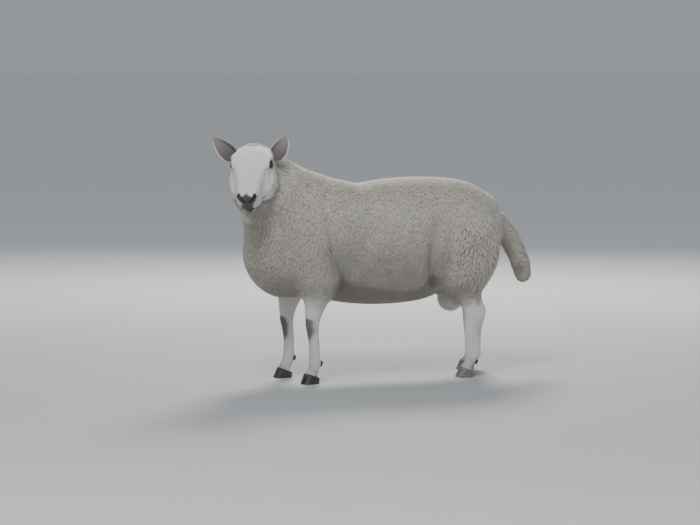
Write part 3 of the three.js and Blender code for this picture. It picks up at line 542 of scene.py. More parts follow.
# ---------------------------------------------------------------- a field's surface as a mesh
def nets(field, lo, hi, cell):
    """Closed surface of a field over a box of cubic cells: points and triangles."""
    n = [int(math.ceil((b - a) / cell)) + 1 for a, b in zip(lo, hi)]
    ax = [lo[i] + cell * np.arange(n[i]) for i in range(3)]
    v = np.empty(n)
    for i in range(0, n[0], 8):
        xs = ax[0][i : i + 8]
        g = np.stack(np.meshgrid(xs, ax[1], ax[2], indexing="ij"), -1).reshape(-1, 3)
        v[i : i + 8] = field(g).reshape(len(xs), n[1], n[2])
    sign = v < 0
    cells = np.zeros([k - 1 for k in n], int)
    for i in (0, 1):
        for j in (0, 1):
            for k in (0, 1):
                cells += sign[i : n[0] - 1 + i, j : n[1] - 1 + j, k : n[2] - 1 + k]
    ijk = np.argwhere((cells > 0) & (cells < 8))
    index = -np.ones(cells.shape, int)
    index[tuple(ijk.T)] = np.arange(len(ijk))
    total, count = np.zeros((len(ijk), 3)), np.zeros(len(ijk))
    corners = [(i, j, k) for i in (0, 1) for j in (0, 1) for k in (0, 1)]
    for a in corners:
        for axis in range(3):
            if a[axis]:
                continue
            b = list(a)
            b[axis] = 1
            fa = v[tuple((ijk + a).T)]
            fb = v[tuple((ijk + b).T)]
            m = (fa < 0) != (fb < 0)
            t = np.where(m, fa / np.where(m, fa - fb, 1), 0)
            point = ijk + np.array(a) + np.where(np.arange(3) == axis, t[:, None], 0)
            total[m] += point[m]
            count += m
    pos = np.array(lo) + cell * total / count[:, None]
    quads = []
    for axis in range(3):
        u, w = (axis + 1) % 3, (axis + 2) % 3
        here = [slice(1, k - 1) for k in n]
        here[axis] = slice(0, n[axis] - 1)
        there = list(here)
        there[axis] = slice(1, n[axis])
        a, b = sign[tuple(here)], sign[tuple(there)]
        at = np.argwhere(a != b) + [0 if i == axis else 1 for i in range(3)]
        flip = a[tuple((at - [0 if i == axis else 1 for i in range(3)]).T)]
        du, dw = np.eye(3, dtype=int)[u], np.eye(3, dtype=int)[w]
        q = np.stack([index[tuple((at - s).T)] for s in (0 * du, du, du + dw, dw)], 1)
        q[~flip] = q[~flip][:, ::-1]
        quads.append(q)
    q = np.concatenate(quads)
    q = q[(q >= 0).all(1)]
    d1 = np.linalg.norm(pos[q[:, 0]] - pos[q[:, 2]], axis=1)
    d2 = np.linalg.norm(pos[q[:, 1]] - pos[q[:, 3]], axis=1)
    s = d1 <= d2
    tris = np.concatenate([q[s][:, [0, 1, 2]], q[s][:, [0, 2, 3]], q[~s][:, [0, 1, 3]], q[~s][:, [1, 2, 3]]])
    return pos, tris


def slope_of(field, p, e=0.4):
    g = np.empty_like(p)
    for c in range(3):
        d = np.zeros(3)
        d[c] = e
        g[:, c] = (field(p + d) - field(p - d)) / (2 * e)
    return g


def pulled(field, p, rounds=2, most=4.0):
    for _ in range(rounds):
        f, g = field(p), slope_of(field, p)
        l2 = np.maximum((g**2).sum(1), 0.25)
        p = p - (np.clip(f / l2, -most, most) * 0.9)[:, None] * g
    return p


def edges_of(tris):
    e = np.sort(np.concatenate([tris[:, [0, 1]], tris[:, [1, 2]], tris[:, [2, 0]]]), axis=1)
    return np.unique(e, axis=0)


def relaxed(pos, tris, amount=0.5, only=None):
    e = edges_of(tris)
    total, count = np.zeros_like(pos), np.zeros(len(pos))
    for a, b in ((0, 1), (1, 0)):
        np.add.at(total, e[:, a], pos[e[:, b]])
        np.add.at(count, e[:, a], 1)
    new = mix(pos, total / np.maximum(count, 1)[:, None], amount)
    return new if only is None else np.where(only[:, None], new, pos)


def refined(pos, tris, size, field):
    """Splits each edge longer than the size wanted at its middle, and puts the new points on the surface."""
    e = np.sort(np.stack([tris, np.roll(tris, -1, 1)], -1).reshape(-1, 2), axis=1)
    key, back = np.unique(e[:, 0] * (len(pos) + 1) + e[:, 1], return_inverse=True)
    ends = np.stack([key // (len(pos) + 1), key % (len(pos) + 1)], 1)
    middle = (pos[ends[:, 0]] + pos[ends[:, 1]]) / 2
    long = np.linalg.norm(pos[ends[:, 0]] - pos[ends[:, 1]], axis=1)
    cut = long > size(middle) * 1.42
    number = np.full(len(key), -1)
    number[cut] = len(pos) + np.arange(cut.sum())
    new = np.concatenate([pos, pulled(field, middle[cut], 1, 2.0)])
    mid = number[back].reshape(-1, 3)                # middle of edge 01, 12, 20 of each triangle
    n = (mid >= 0).sum(1)
    out = [tris[n == 0]]
    for r in range(3):
        t, m = np.roll(tris, -r, 1), np.roll(mid, -r, 1)
        one = (n == 1) & (m[:, 0] >= 0)
        a, b, c, ab = t[one, 0], t[one, 1], t[one, 2], m[one, 0]
        out += [np.stack([a, ab, c], 1), np.stack([ab, b, c], 1)]
        two = (n == 2) & (m[:, 2] < 0)
        a, b, c, ab, bc = t[two, 0], t[two, 1], t[two, 2], m[two, 0], m[two, 1]
        out += [np.stack([ab, b, bc], 1)]
        s = np.linalg.norm(new[a] - new[bc], axis=1) <= np.linalg.norm(new[ab] - new[c], axis=1)
        out += [np.stack([a, ab, bc], 1)[s], np.stack([a, bc, c], 1)[s], np.stack([a, ab, c], 1)[~s], np.stack([ab, bc, c], 1)[~s]]
    t, m = tris[n == 3], mid[n == 3]
    out += [m, np.stack([t[:, 0], m[:, 0], m[:, 2]], 1), np.stack([t[:, 1], m[:, 1], m[:, 0]], 1), np.stack([t[:, 2], m[:, 2], m[:, 1]], 1)]
    return new, np.concatenate(out)


def point_normals(pos, tris):
    n = np.cross(pos[tris[:, 1]] - pos[tris[:, 0]], pos[tris[:, 2]] - pos[tris[:, 0]])
    total = np.zeros_like(pos)
    for c in range(3):
        np.add.at(total, tris[:, c], n)
    return unit(total)


def wanted(p):
    """Length of the skin's edges at a point: fine on face and feet, coarse under the fleece."""
    s = np.full(len(p), 9.0)
    s[p[:, 2] < 330] = 5.0
    s[p[:, 2] < 90] = 3.6
    m = inside_box(p, (-760, -330, 620), (-400, 60, 970))
    if m.any():
        q = to_head(p[m])
        a, l, d = q[:, 0], np.abs(q[:, 1]), q[:, 2]
        t = np.where((a > face_edge(q) - 14), 3.4, 9.0)
        t = np.where((a > 196) | (np.abs(d - mouth_line(a)) < 9) & (a > 166), 1.9, t)
        slit = (a > 174) & (np.abs(d - mouth_line(a)) < 4.5)
        h = np.stack([a, l, d], 1)
        dist, _, _, _, almond = eye_place(h)
        t = np.where(dist < 36, 2.0, t)
        hole = nostril(h)
        t = np.where((np.abs(almond - 1) < 6) & (dist < 27) | slit | (hole < 6), 1.1, t)
        t = np.where((np.abs(almond) < 2.4) & (dist < 24) | (np.abs(hole - 0.4) < 2.2), 0.75, t)
        s[m] = t
    return s


def make_skin():
    lo, hi = (-716, -300, -8), (664, 240, 984)
    coarse = lambda p: outer(p) + coat_depth(p)
    pos, tris = nets(coarse, lo, hi, 9.0)
    pos = pulled(coarse, relaxed(pos, tris), 1)
    for _ in range(5):
        pos, tris = refined(pos, tris, wanted, skin_field)
    for _ in range(2):
        pos = pulled(skin_field, relaxed(pos, tris, 0.45), 1, 1.5)
    pos = pulled(skin_field, pos, 2, 1.5)
    # what is pressed into the face
    m = np.flatnonzero(inside_box(pos, (-760, -330, 620), (-430, 0, 970)))
    q = to_head(pos[m])
    m, q = m[q[:, 0] > 30], q[q[:, 0] > 30]
    n = unit(slope_of(skin_field, pos[m])) @ BASIS.T
    deep, back, shallow = pressed(q)
    new = q + back * deep[:, None] - n * shallow[:, None]
    side = np.where(q[:, 1:2] < 0, np.array([[1.0, -1, 1]]), np.array([[1.0, 1, 1]]))
    dist, out, _, _, almond = eye_place(halves(q))
    open_ = ramp(-almond, -0.5, 1.0) * ramp(out, 1, 3) * (dist < 30)
    ray = (halves(q) - EYE_AT) / dist[:, None]
    sunk = (EYE_AT + ray * (EYE_R - 2.6)) * side
    new = mix(new, sunk, open_[:, None])
    pos[m] = from_head(new)
    busy = np.zeros(len(pos), bool)
    busy[m] = (deep > 0.05) & (deep < 11.9) | (open_ > 0.01) & (open_ < 0.99)
    for _ in range(3):
        pos = relaxed(pos, tris, 0.35, busy)
    print(f"skin {len(tris)} triangles, {time.time() - START:.1f} s")
    return pos, tris


def mesh_of(name, pos, faces, smooth=True):
    """A mesh from points in millimetres of the working frame and triangles or quads."""
    me = bpy.data.meshes.new(name)
    pos = row(pos).astype(np.float32)
    k = faces.shape[1]
    me.vertices.add(len(pos))
    me.vertices.foreach_set("co", pos.ravel())
    me.loops.add(faces.size)
    me.loops.foreach_set("vertex_index", faces.ravel().astype(np.int32))
    me.polygons.add(len(faces))
    me.polygons.foreach_set("loop_start", (np.arange(len(faces)) * k).astype(np.int32))
    me.update(calc_edges=True)
    if smooth:
        me.polygons.foreach_set("use_smooth", np.ones(len(faces), bool))
    ob = bpy.data.objects.new(name, me)
    bpy.context.scene.collection.objects.link(ob)
    return ob


# ---------------------------------------------------------------- eyes
def attribute(ob, name, values, kind="FLOAT"):
    a = ob.data.attributes.new(name, kind, "POINT")
    a.data.foreach_set({"FLOAT": "value", "FLOAT_COLOR": "color", "FLOAT_VECTOR": "vector"}[kind], np.ascontiguousarray(values, np.float32).ravel())
    return a


def make_eye(name, side):
    rows, cols = 72, 96
    t = np.linspace(0, math.pi, rows + 1)[:, None] * np.ones((1, cols))
    q = np.linspace(0, 2 * math.pi, cols, endpoint=False)[None, :] * np.ones((rows + 1, 1))
    r = EYE_R + 1.3 * np.clip(1 - (t / 0.72) ** 2, 0, 1) ** 0.8       # the clear front stands a little proud
    x, y, z = r * np.sin(t) * np.cos(q), r * np.sin(t) * np.sin(q), r * np.cos(t)
    h = EYE_AT + x[..., None] * EYE_LONG + y[..., None] * EYE_UP + z[..., None] * EYE_OUT
    h = h.reshape(-1, 3) * np.array([1.0, side, 1])
    i, j = np.meshgrid(np.arange(rows), np.arange(cols), indexing="ij")
    k = (j + 1) % cols
    f = np.stack([i * cols + j, (i + 1) * cols + j, (i + 1) * cols + k, i * cols + k], -1).reshape(-1, 4)
    if side < 0:
        f = f[:, ::-1]
    ob = mesh_of(name, from_head(h), f)
    attribute(ob, "iris", (np.sin(t) * EYE_R).ravel())
    px, py = np.abs(x).ravel(), np.abs(y).ravel()
    pupil = ((px / 6.2) ** 3 + (py / 2.9) ** 3) ** (1 / 3) + 3 * (t.ravel() > 1.2)
    attribute(ob, "pupil", pupil)
    attribute(ob, "around", (np.sin(q * 31) * 0.5 + np.sin(q * 57 + 1) * 0.3 + np.sin(q * 13 + 2) * 0.3).ravel())
    return ob


# ---------------------------------------------------------------- ears, the same leaf as the solids' but thinner at the rim, with folds in its hollow
EAR = dict(long=106, wide=31, lobe=0.42, thick=3.2, cup=0.95)
EARS = {
    "ear_left": dict(root=(20, 76, -62), reach=(52, 24, 80), open=(-40, -90, 20), outer=1),
    "ear_right": dict(root=(20, -76, -52), reach=(-70, 30, 70), open=(-30, -92, 8), outer=-1),
}
for e in EARS.values():
    e["at"] = from_head(np.array(e["root"], float))
    e["along"] = unit(np.array(e["reach"], float))
    o = np.array(e["open"], float)
    e["hollow"] = unit(o - e["along"] * (o @ e["along"]))
    e["across"] = np.cross(e["along"], e["hollow"])


def ear_point(e, t, u, w):
    """A point of the leaf: t from root to tip, u across from -1 to 1, w through it, positive in the hollow."""
    half = EAR["wide"] * np.sin(np.pi * np.clip(t, 0, 1) ** 0.66) ** 0.64 + 10 * (1 - t) ** 2 * np.sqrt(np.clip(t * 12, 0, 1))
    half = half * (1 + 0.02 * np.sin(t * 21) * (u > 0)) - 0.6
    bend = EAR["cup"] * mix(1.5, 0.7, t)
    fat = EAR["thick"] * np.sqrt(np.clip(t * 6, 0, 1)) * np.minimum(1, np.sqrt(np.maximum(0, 4 * (1 - t)))) * mix(1.5, 0.62, t)
    broad = half * np.where(u * e["outer"] > 0, 1 + EAR["lobe"], 1.0)
    side = broad / bend * np.sin(u * bend)
    deep = broad / bend * (1 - np.cos(u * bend)) - 0.25 * half
    fold = 1.5 * np.cos(u * 8.5) * ramp(w, 0.1, 0.7) * (1 - ramp(t, 0.35, 0.85)) * ramp(t, 0.05, 0.2)
    length = EAR["long"] * (t - 0.12) / 0.88
    return e["at"] + length[:, None] * e["along"] + side[:, None] * e["across"] + (deep + w * fat + fold - 10 * t * t)[:, None] * e["hollow"]


def make_ear(e, rows=64, cols=72):
    v = np.linspace(0, 1, rows + 1)
    t = (0.5 - 0.5 * np.cos(np.pi * v))[:, None] * np.ones((1, cols))
    q = np.linspace(0, 2 * np.pi, cols, endpoint=False)[None, :] * np.ones((rows + 1, 1))
    p = ear_point(e, t.ravel(), np.cos(q).ravel(), np.sin(q).ravel())
    i, j = [g.ravel() for g in np.meshgrid(np.arange(rows), np.arange(cols), indexing="ij")]
    k = (j + 1) % cols
    a, b, c, d = i * cols + j, (i + 1) * cols + j, (i + 1) * cols + k, i * cols + k
    f = np.concatenate([np.stack([a, c, b], 1), np.stack([a, d, c], 1)])
    v = p - p.mean(0)
    inward = (v[f[:, 0]] * np.cross(v[f[:, 1]], v[f[:, 2]])).sum() < 0
    return p, f[:, ::-1] if inward else f


# ---------------------------------------------------------------- hooves
def make_claw(name, leg, inner):
    turn, at = foot_frame(leg)
    c = -leg["side"] if inner else leg["side"]
    cols = 96
    prof = [(0.0, 0.0), (0.35, 0.0), (0.7, 0.0), (0.88, 0.0), (0.955, 0.004), (0.985, 0.018), (1.0, 0.045)]
    prof += [(1.0, h) for h in np.linspace(0.07, 0.97, 34)] + [(0.985, 0.99), (0.93, 1.0), (0.6, 1.0), (0.0, 1.0)]
    k = np.array([a for a, _ in prof])[:, None] * np.ones((1, cols))
    h = np.array([b for _, b in prof])[:, None] * np.ones((1, cols))
    q = np.linspace(0, 2 * np.pi, cols, endpoint=False)[None, :] * np.ones((len(prof), 1))
    fx, fy = np.cos(q), np.sin(q)
    flat_top = (CLAW["front"] + CLAW["heel"]) / 2 - 0.3
    steep = math.tan(SLOPE)
    ringed = k * (1 + (0.007 * np.sin(h * 62 + 0.6 * np.sin(q * 3)) + 0.004 * np.sin(h * 23 + q)) * (k > 0.99) * (h > 0.05))
    across = lambda h: -np.sign(fx) * np.abs(fx) ** 0.85 * np.where(fx > 0, 0.58, 0.40) * CLAW["long"] * mix(1, 0.74, h) * ringed + 13 * h
    full = h
    for _ in range(6):
        h = np.minimum(full, (flat_top - across(h) * steep) / (CLAW["front"] + 4))
    wide = CLAW["wide"] / 2 * mix(1, 0.93, h)
    rnd = np.sign(fy) * np.abs(fy) ** np.where(fy < 0, 0.4, 0.72) * np.where(fx > 0, 1 - 0.25 * fx * fx, 1)
    x = across(h)
    y = c * (CLAW["split"] + wide * (1 + rnd * ringed) - 0.35 * wide * k * np.maximum(0, fx) ** 3)
    z = h * (CLAW["front"] + 4)
    p = np.stack([x, y, z], -1).reshape(-1, 3)
    p[:, 2] = np.clip(p[:, 2], 0, flat_top - p[:, 0] * steep)
    p = p @ turn + at
    i, j = [g.ravel() for g in np.meshgrid(np.arange(len(prof) - 1), np.arange(cols), indexing="ij")]
    m = (j + 1) % cols
    f = np.stack([i * cols + j, i * cols + m, (i + 1) * cols + m, (i + 1) * cols + j], 1)
    if c > 0:
        f = f[:, ::-1]
    ob = mesh_of(name, p, f)
    attribute(ob, "rise", (h.ravel() * 49 - 0).astype(float))
    return ob


def make_dewclaw(name, leg, inner):
    dz = 76.0 if leg["fore"] else 60.0
    c = -leg["side"] if inner else leg["side"]
    q = -leg["side"] * leg["toe"] + c * 0.62
    ax, ay = [v[0] for v in leg_axis(leg, np.array([dz]))]
    d = np.array([math.cos(q), math.sin(q), 0])
    lo, hi = 0.0, 70.0
    for _ in range(22):
        m = (lo + hi) / 2
        if outer((np.array([ax, ay, dz]) + d * m)[None])[0] < 0:
            lo = m
        else:
            hi = m
    rows, cols = 28, 36
    t = np.linspace(0, math.pi, rows + 1)[:, None] * np.ones((1, cols))
    a = np.linspace(0, 2 * math.pi, cols, endpoint=False)[None, :] * np.ones((rows + 1, 1))
    ripple = 1 + 0.02 * np.sin(t * 22)
    x, y, z = 8.5 * np.sin(t) * np.cos(a) * ripple, 6.8 * np.sin(t) * np.sin(a) * ripple, 12 * np.cos(t)
    x = x + 1.6 * (z < 0) * (z / 12) ** 2
    s, cc = math.sin(0.35), math.cos(0.35)
    x, z = cc * x + s * z, -s * x + cc * z
    p = np.stack([math.cos(q) * x - math.sin(q) * y, math.sin(q) * x + math.cos(q) * y, z], -1).reshape(-1, 3)
    p = p + np.array([ax, ay, dz]) + d * (lo - 2.7)
    i, j = [g.ravel() for g in np.meshgrid(np.arange(rows), np.arange(cols), indexing="ij")]
    m = (j + 1) % cols
    ob = mesh_of(name, p, np.stack([i * cols + j, (i + 1) * cols + j, (i + 1) * cols + m, i * cols + m], 1))
    attribute(ob, "rise", (z.ravel() + 12) * 1.5)
    return ob


# ---------------------------------------------------------------- markings and painted shade, the same for skin and coat
WOOL = np.array([0.56, 0.515, 0.45])
HAIR = np.array([0.74, 0.725, 0.69])
LEATHER = np.array([0.030, 0.028, 0.029])


def muzzle_dark(q):
    """1 on the dark bare skin of nose and lips."""
    a, l, d = q.T
    h = halves(q)
    s = h[:, 1]
    lip = d - mouth_line(a)
    width = np.interp(-d, [4, 8, 12, 18, 28, 40, 50, 62, 75, 88, 104, 118], [2, 10, 22, 32, 35, 29, 24, 22, 21, 19, 13, 4])
    edge = 2.5 * noise(q, 7.0, 21) + 1.8 * noise(q, 3.2, 22)
    front = 0.55 * ramp(a + 0.8 * edge, 214, 224) + 0.45 * ramp(a + 0.8 * edge, 222, 234)
    width = width + 8.0 * ramp(-l, 0, 10) * ramp(-d, 52, 72) * (1 - ramp(-d, 100, 112))
    m = (1 - ramp(s - width + edge, -8.0, 5.0)) * front
    m = np.maximum(m, (1 - ramp(nostril(h) + 0.6 * edge, 1.8, 5.0)) * ramp(a, 222, 228))
    m = np.maximum(m, (1 - ramp(np.abs(lip + 1.5) + 0.4 * edge, 2.0, 5.0)) * ramp(a, 178, 200))
    m = np.maximum(m, (1 - ramp(np.abs(lip + 6) + 0.5 * edge, 4.0, 8.0)) * ramp(a, 204, 222))
    return m


def eye_dark(q):
    h = halves(q)
    dist, out, e1, e2, almond = eye_place(h)
    rim = (1 - ramp(almond, 1.8, 3.8)) * (dist < 30) * (out > 0)
    corner = bell(np.hypot(e1 - 17.5, e2 * 1.6 + 0.5), 5.0) * (dist < 30) * 0.9
    # a soft dark ring round the lids: partly dark skin, partly painted shade of the eye's hollow
    soft = 0.42 * (1 - ramp(almond, 2.0, 8.5)) * (dist < 32) * (out > -2)
    return np.maximum(np.maximum(rim, corner), soft)


def tones(p, n, w):
    """Colour of points of the body with the normals n and the wool cover w."""
    big = noise(p, 90, 31)[:, None]
    mid = noise(p, 28, 32)[:, None]
    fleece = WOOL * (1 + 0.045 * big + 0.04 * mid)
    # browner along the back where rain and dust stay
    back = ramp(n[:, 2], 0.45, 0.95) * ramp(p[:, 2], 640, 730)
    fleece = mix(fleece, np.array([0.42, 0.36, 0.285]), (0.32 * back * (0.7 + 0.6 * np.clip(mid[:, 0] + 0.3, 0, 1)))[:, None])
    # the belly's underside darker and browner, below BELLY_EDGE and where the skin faces down: partly stained wool,
    # partly painted shade
    edge = np.interp(p[:, 0], BELLY_EDGE[:, 0], BELLY_EDGE[:, 1]) + 7 * noise(p, 34, 30) + 4 * noise(p, 12, 29)
    under = (1 - ramp(p[:, 2] - edge, -30, 4)) * ramp(p[:, 0], -262, -222) * (1 - ramp(p[:, 0], 150, 215)) * (1 - ramp(np.abs(p[:, 1]), 168, 195))
    under = np.maximum(under, 0.6 * ramp(-n[:, 2], 0.45, 0.9) * (1 - ramp(p[:, 2], 380, 440)))
    fleece = mix(fleece, np.array([0.27, 0.235, 0.195]), (0.80 * under)[:, None])
    # painted shade darkening the fleece along the folds behind the shoulder and in front of the thigh
    crease_shade = np.maximum(bell(off_line(p, SHOULDER_FOLD)[0], 15) * 0.30, bell(off_line(p, FLANK_FOLD)[0], 15) * 0.26) * ramp(np.abs(p[:, 1]), 70, 120) * (1 - 0.6 * ramp(p[:, 2], 470, 620))
    fleece = fleece * (1 - crease_shade)[:, None]
    low = (1 - ramp(p[:, 2], 300, 450)) * (0.16 + 0.14 * noise(p, 40, 33))
    sack = (1 - ramp(bar(p, (262, 0, 392), (287, 0, 298), 34, 53), 4, 18)) * (p[:, 2] < 400)
    fleece = mix(fleece, np.array([0.34, 0.29, 0.23]), (np.clip(low, 0, 1) * (1 - sack))[:, None])
    fleece = mix(fleece, HAIR * np.array([1.0, 0.96, 0.92]), (0.85 * sack * ramp(-p[:, 2], -400, -370))[:, None])
    chest = ramp(-p[:, 0], 380, 480) * (1 - ramp(p[:, 2], 460, 620))
    fleece = mix(fleece, np.array([0.42, 0.36, 0.29]), (0.25 * chest * (0.6 + 0.4 * mid[:, 0]))[:, None])
    t = p - RUFF["at"]
    behind, wide = -(t @ FORWARD), np.hypot(t @ AXIS_L / RUFF["across"], t[:, 2] / RUFF["tall"])
    ring = ramp(wide, 0.45, 0.8) * (p[:, 0] < -400) * (p[:, 2] > 620)
    # paler along the ruff itself: pale wool, with painted light on the roll of the ruff
    fleece = mix(fleece, np.array([0.74, 0.70, 0.64]), (0.92 * ring * bell(behind - 6, 26))[:, None])
    # painted shadow: a darker band on the neck just behind the ruff
    fleece = fleece * (1 - 0.24 * ring * bell(behind - 50, 12))[:, None]
    q = to_head(p)
    poll = (1 - ramp(np.linalg.norm((q - np.array([-6, 0, -12])) / np.array([1.0, 1.5, 1.3]), axis=1), 36, 60)) * (p[:, 2] > 700)
    fleece = mix(fleece, HAIR * 0.97, (0.8 * poll)[:, None])
    tail = ramp(p[:, 0], 505, 540)
    stain = tail * (0.04 + 0.20 * (1 - ramp(p[:, 2], 362, 400)) + 0.10 * noise(p, 22, 34))
    fleece = mix(fleece, np.array([0.45, 0.375, 0.22]), np.clip(stain, 0, 0.85)[:, None])
    spot = bell(np.linalg.norm((p - np.array([572, -30, 420])) / np.array([1.0, 1.4, 1.3]), axis=1), 19) * 0.55
    fleece = mix(fleece, np.array([0.17, 0.145, 0.12]), spot[:, None])
    breech = bell(p[:, 1], 60) * ramp(p[:, 0], 380, 440) * (1 - ramp(p[:, 2], 500, 590)) * (1 - tail)
    fleece = mix(fleece, np.array([0.44, 0.36, 0.24]), (0.28 * breech)[:, None])
    hair = HAIR * (1 + 0.03 * mid)
    m = inside_box(p, (-760, -330, 560), (-330, 140, 1000))
    if m.any():
        q = to_head(p[m])
        t = hair[m]
        s = np.abs(q[:, 1])
        # greyish muzzle sides, a warm touch at the cheek, darker in the tear groove
        t = mix(t, np.array([0.56, 0.55, 0.54]), (0.55 * ramp(q[:, 0], 196, 236) * (1 - ramp(s, 34, 46)) * (0.7 + 0.3 * noise(q, 9, 35)))[:, None])
        bridge = bell(s, 24) * ramp(q[:, 0], 84, 130) * (1 - ramp(q[:, 0], 205, 225)) * ramp(q[:, 2], -34, -8)
        t = mix(t, np.array([0.57, 0.52, 0.49]), (0.30 * bridge * (0.75 + 0.5 * noise(q, 13, 43)))[:, None])
        mottle = ramp(noise(q, 8, 44) + 0.5 * noise(q, 4, 45), 0.15, 0.9) * (1 - ramp(q[:, 0], 150, 215))
        t = mix(t, np.array([0.55, 0.52, 0.48]), (0.20 * mottle)[:, None])
        t = mix(t, np.array([0.50, 0.44, 0.38]), (0.28 * bell(np.maximum(bar(halves(q), (104, 64, -20), (138, 57, -23), 0, 0), 0), 7))[:, None])
        t = mix(t, np.array([0.60, 0.53, 0.44]), (0.35 * ramp(-q[:, 2], 100, 160) + 0.22 * (1 - ramp(q[:, 0], 0, 40)))[:, None])
        # painted shade along the crease where the side of the head meets the wool
        crease_shade = bell(head_form(q) - 8, 6) * ramp(-q[:, 2], 44, 66) * ramp(q[:, 0], 18, 40) * (1 - ramp(q[:, 0], 128, 150))
        t = mix(t, np.array([0.34, 0.31, 0.28]), (0.55 * crease_shade)[:, None])
        t = mix(t, LEATHER * 1.6, (0.93 * muzzle_dark(q))[:, None])
        t = mix(t, LEATHER, (0.95 * eye_dark(q))[:, None])
        hair[m] = t
    m = p[:, 2] < 420
    if m.any():
        q = p[m]
        which, r, dx, dy = leg_near(q)
        fore = which < 2
        t = hair[m]
        e = 9 * noise(q, 17, 36) + 5 * noise(q, 7, 37)
        sector = np.arctan2(np.abs(dy), -dx)
        open_ = np.interp(q[:, 2] + 14 * (which == 1) + 0.5 * e, [146, 158, 172, 192, 212, 228, 242, 252, 262], [0.0, 0.60, 1.0, 1.40, 1.70, 1.74, 1.42, 0.85, 0.0])
        knee = fore * (1 - ramp(sector + 0.03 * e - open_, -0.60, 0.30)) * ramp(open_, 0.02, 1.3)
        t = mix(t, np.array([0.095, 0.085, 0.080]), (0.88 * knee)[:, None])
        shin = fore * ramp(-dx, 4, 12) * ramp(q[:, 2], 84, 110) * (1 - ramp(q[:, 2], 150, 172)) * 0.25
        t = mix(t, np.array([0.30, 0.27, 0.24]), shin[:, None])
        hock = (~fore) * bell(q[:, 2] - 178, 26) * ramp(dx, 4, 20) * (0.32 + 0.2 * noise(q, 12, 38))
        t = mix(t, np.array([0.26, 0.22, 0.18]), np.clip(hock, 0, 1)[:, None])
        dirt = (1 - ramp(q[:, 2], 34, 120)) * (0.34 + 0.30 * noise(q, 14, 39)) + 0.05
        t = mix(t, np.array([0.20, 0.17, 0.14]), np.clip(dirt, 0, 1)[:, None])
        # painted shade down the cleft between the claws; the skin below the coronets, under the horn, is dark too
        cleft = bell(dy, 5) * (1 - ramp(q[:, 2], 30, 62)) * 0.8
        for i, leg in enumerate(LEGS.values()):
            k = (which == i) & (q[:, 2] < 90)
            cleft[k] = np.maximum(cleft[k], 0.95 * (1 - ramp(coronet(leg, q[k]), -1.5, 1.5)))
        t = mix(t, np.array([0.05, 0.045, 0.04]), cleft[:, None])
        # towards the hem the leg turns to the fleece's colour, a little darker than the fleece: the fleece's colour,
        # with painted shade
        inner = ramp(q[:, 2], np.where(fore, 258, 250), 330) * np.where(fore, 0.55, 0.25)
        t = mix(t, WOOL * 0.93, inner[:, None])
        hair[m] = t
    return mix(hair, fleece, w[:, None])


def ear_tones(t, u, w):
    p = np.stack([t * 100, u * 40, w * 4], 1)
    rim = ramp(np.abs(u), 0.78, 0.97)
    inside = ramp(w, 0.1, 0.6) * (1 - rim)
    base = HAIR * (1 + 0.04 * noise(p, 14, 41))[:, None]
    base = mix(base, np.array([0.50, 0.42, 0.38]), (0.25 * (1 - ramp(t, 0.1, 0.5)))[:, None])
    # skin of the hollow, darkest at the root: its own colour, darkened deep in the hollow as painted shade
    inner_skin_and_shade = mix(np.array([0.070, 0.056, 0.055]), np.array([0.215, 0.178, 0.168]), ramp(t, 0.15, 0.95)[:, None])
    return mix(base, inner_skin_and_shade, (0.92 * inside)[:, None])


# ---------------------------------------------------------------- the lie of the coat
def lie(p, n, w):
    """Unit direction in which the coat lies at a point."""
    g = np.tile(np.array([0.10, 0.0, -1.0]), (len(p), 1))
    s = np.tanh(p[:, 1] / 45)
    top = ramp(n[:, 2], 0.35, 0.98)
    g = g + (top * 0.9)[:, None] * np.array([1.0, 0, 0])
    g[:, 1] += 0.55 * top * s
    under = ramp(-n[:, 2], 0.3, 0.9)
    g[:, 0] += 0.9 * under
    # thigh: the locks part over its middle and slant forward before it, backward behind it
    thigh = ramp(p[:, 0], 190, 250) * (1 - ramp(p[:, 0], 470, 520)) * (1 - ramp(p[:, 2], 610, 700)) * ramp(np.abs(p[:, 1]), 40, 80)
    g[:, 0] += thigh * np.clip((p[:, 0] - 350) / 110, -1.1, 0.8) * ramp(-p[:, 2], -640, -470)
    # neck and throat: back and down, away from the ruff
    m = inside_box(p, (-760, -330, 480), (-300, 260, 1000))
    g[m] += 0.35 * ramp(-p[m, 0], 330, 430)[:, None] * np.array([0.6, 0, 0])
    tail = ramp(p[:, 0], 470, 520)[:, None]
    along = np.stack([mix(0.95, 0.12, ramp(-p[:, 2], -570, -430)), 0 * s, -np.ones(len(p))], 1)
    g = mix(g, along, tail)
    # head: from the poll down over the brow, and back from the muzzle along the cheeks
    q = to_head(p)
    head = (1 - w) * (np.linalg.norm(q - np.array([110, 0, -60]), axis=1) < 230) * (p[:, 2] > 600)
    a_dir = np.where(q[:, 0] < 60, 1.0, -1.0)[:, None] * AXIS_A * 1.0 - 0.5 * AXIS_D
    a_dir = a_dir + (0.35 * np.sign(q[:, 1]) * ramp(np.abs(q[:, 1]), 10, 60))[:, None] * AXIS_L
    g = mix(g, a_dir, head[:, None])
    g = g + 0.16 * np.stack([noise(p, 60, 51), noise(p, 60, 52), noise(p, 60, 53)], 1)
    g = g - n * (g * n).sum(1, keepdims=True)
    return unit(g)


# ---------------------------------------------------------------- roots, evenly strewn over a surface
RNG = np.random.default_rng(1518)
TURN3 = np.array([[0.36, 0.48, -0.8], [-0.8, 0.6, 0.0], [0.48, 0.64, 0.6]])


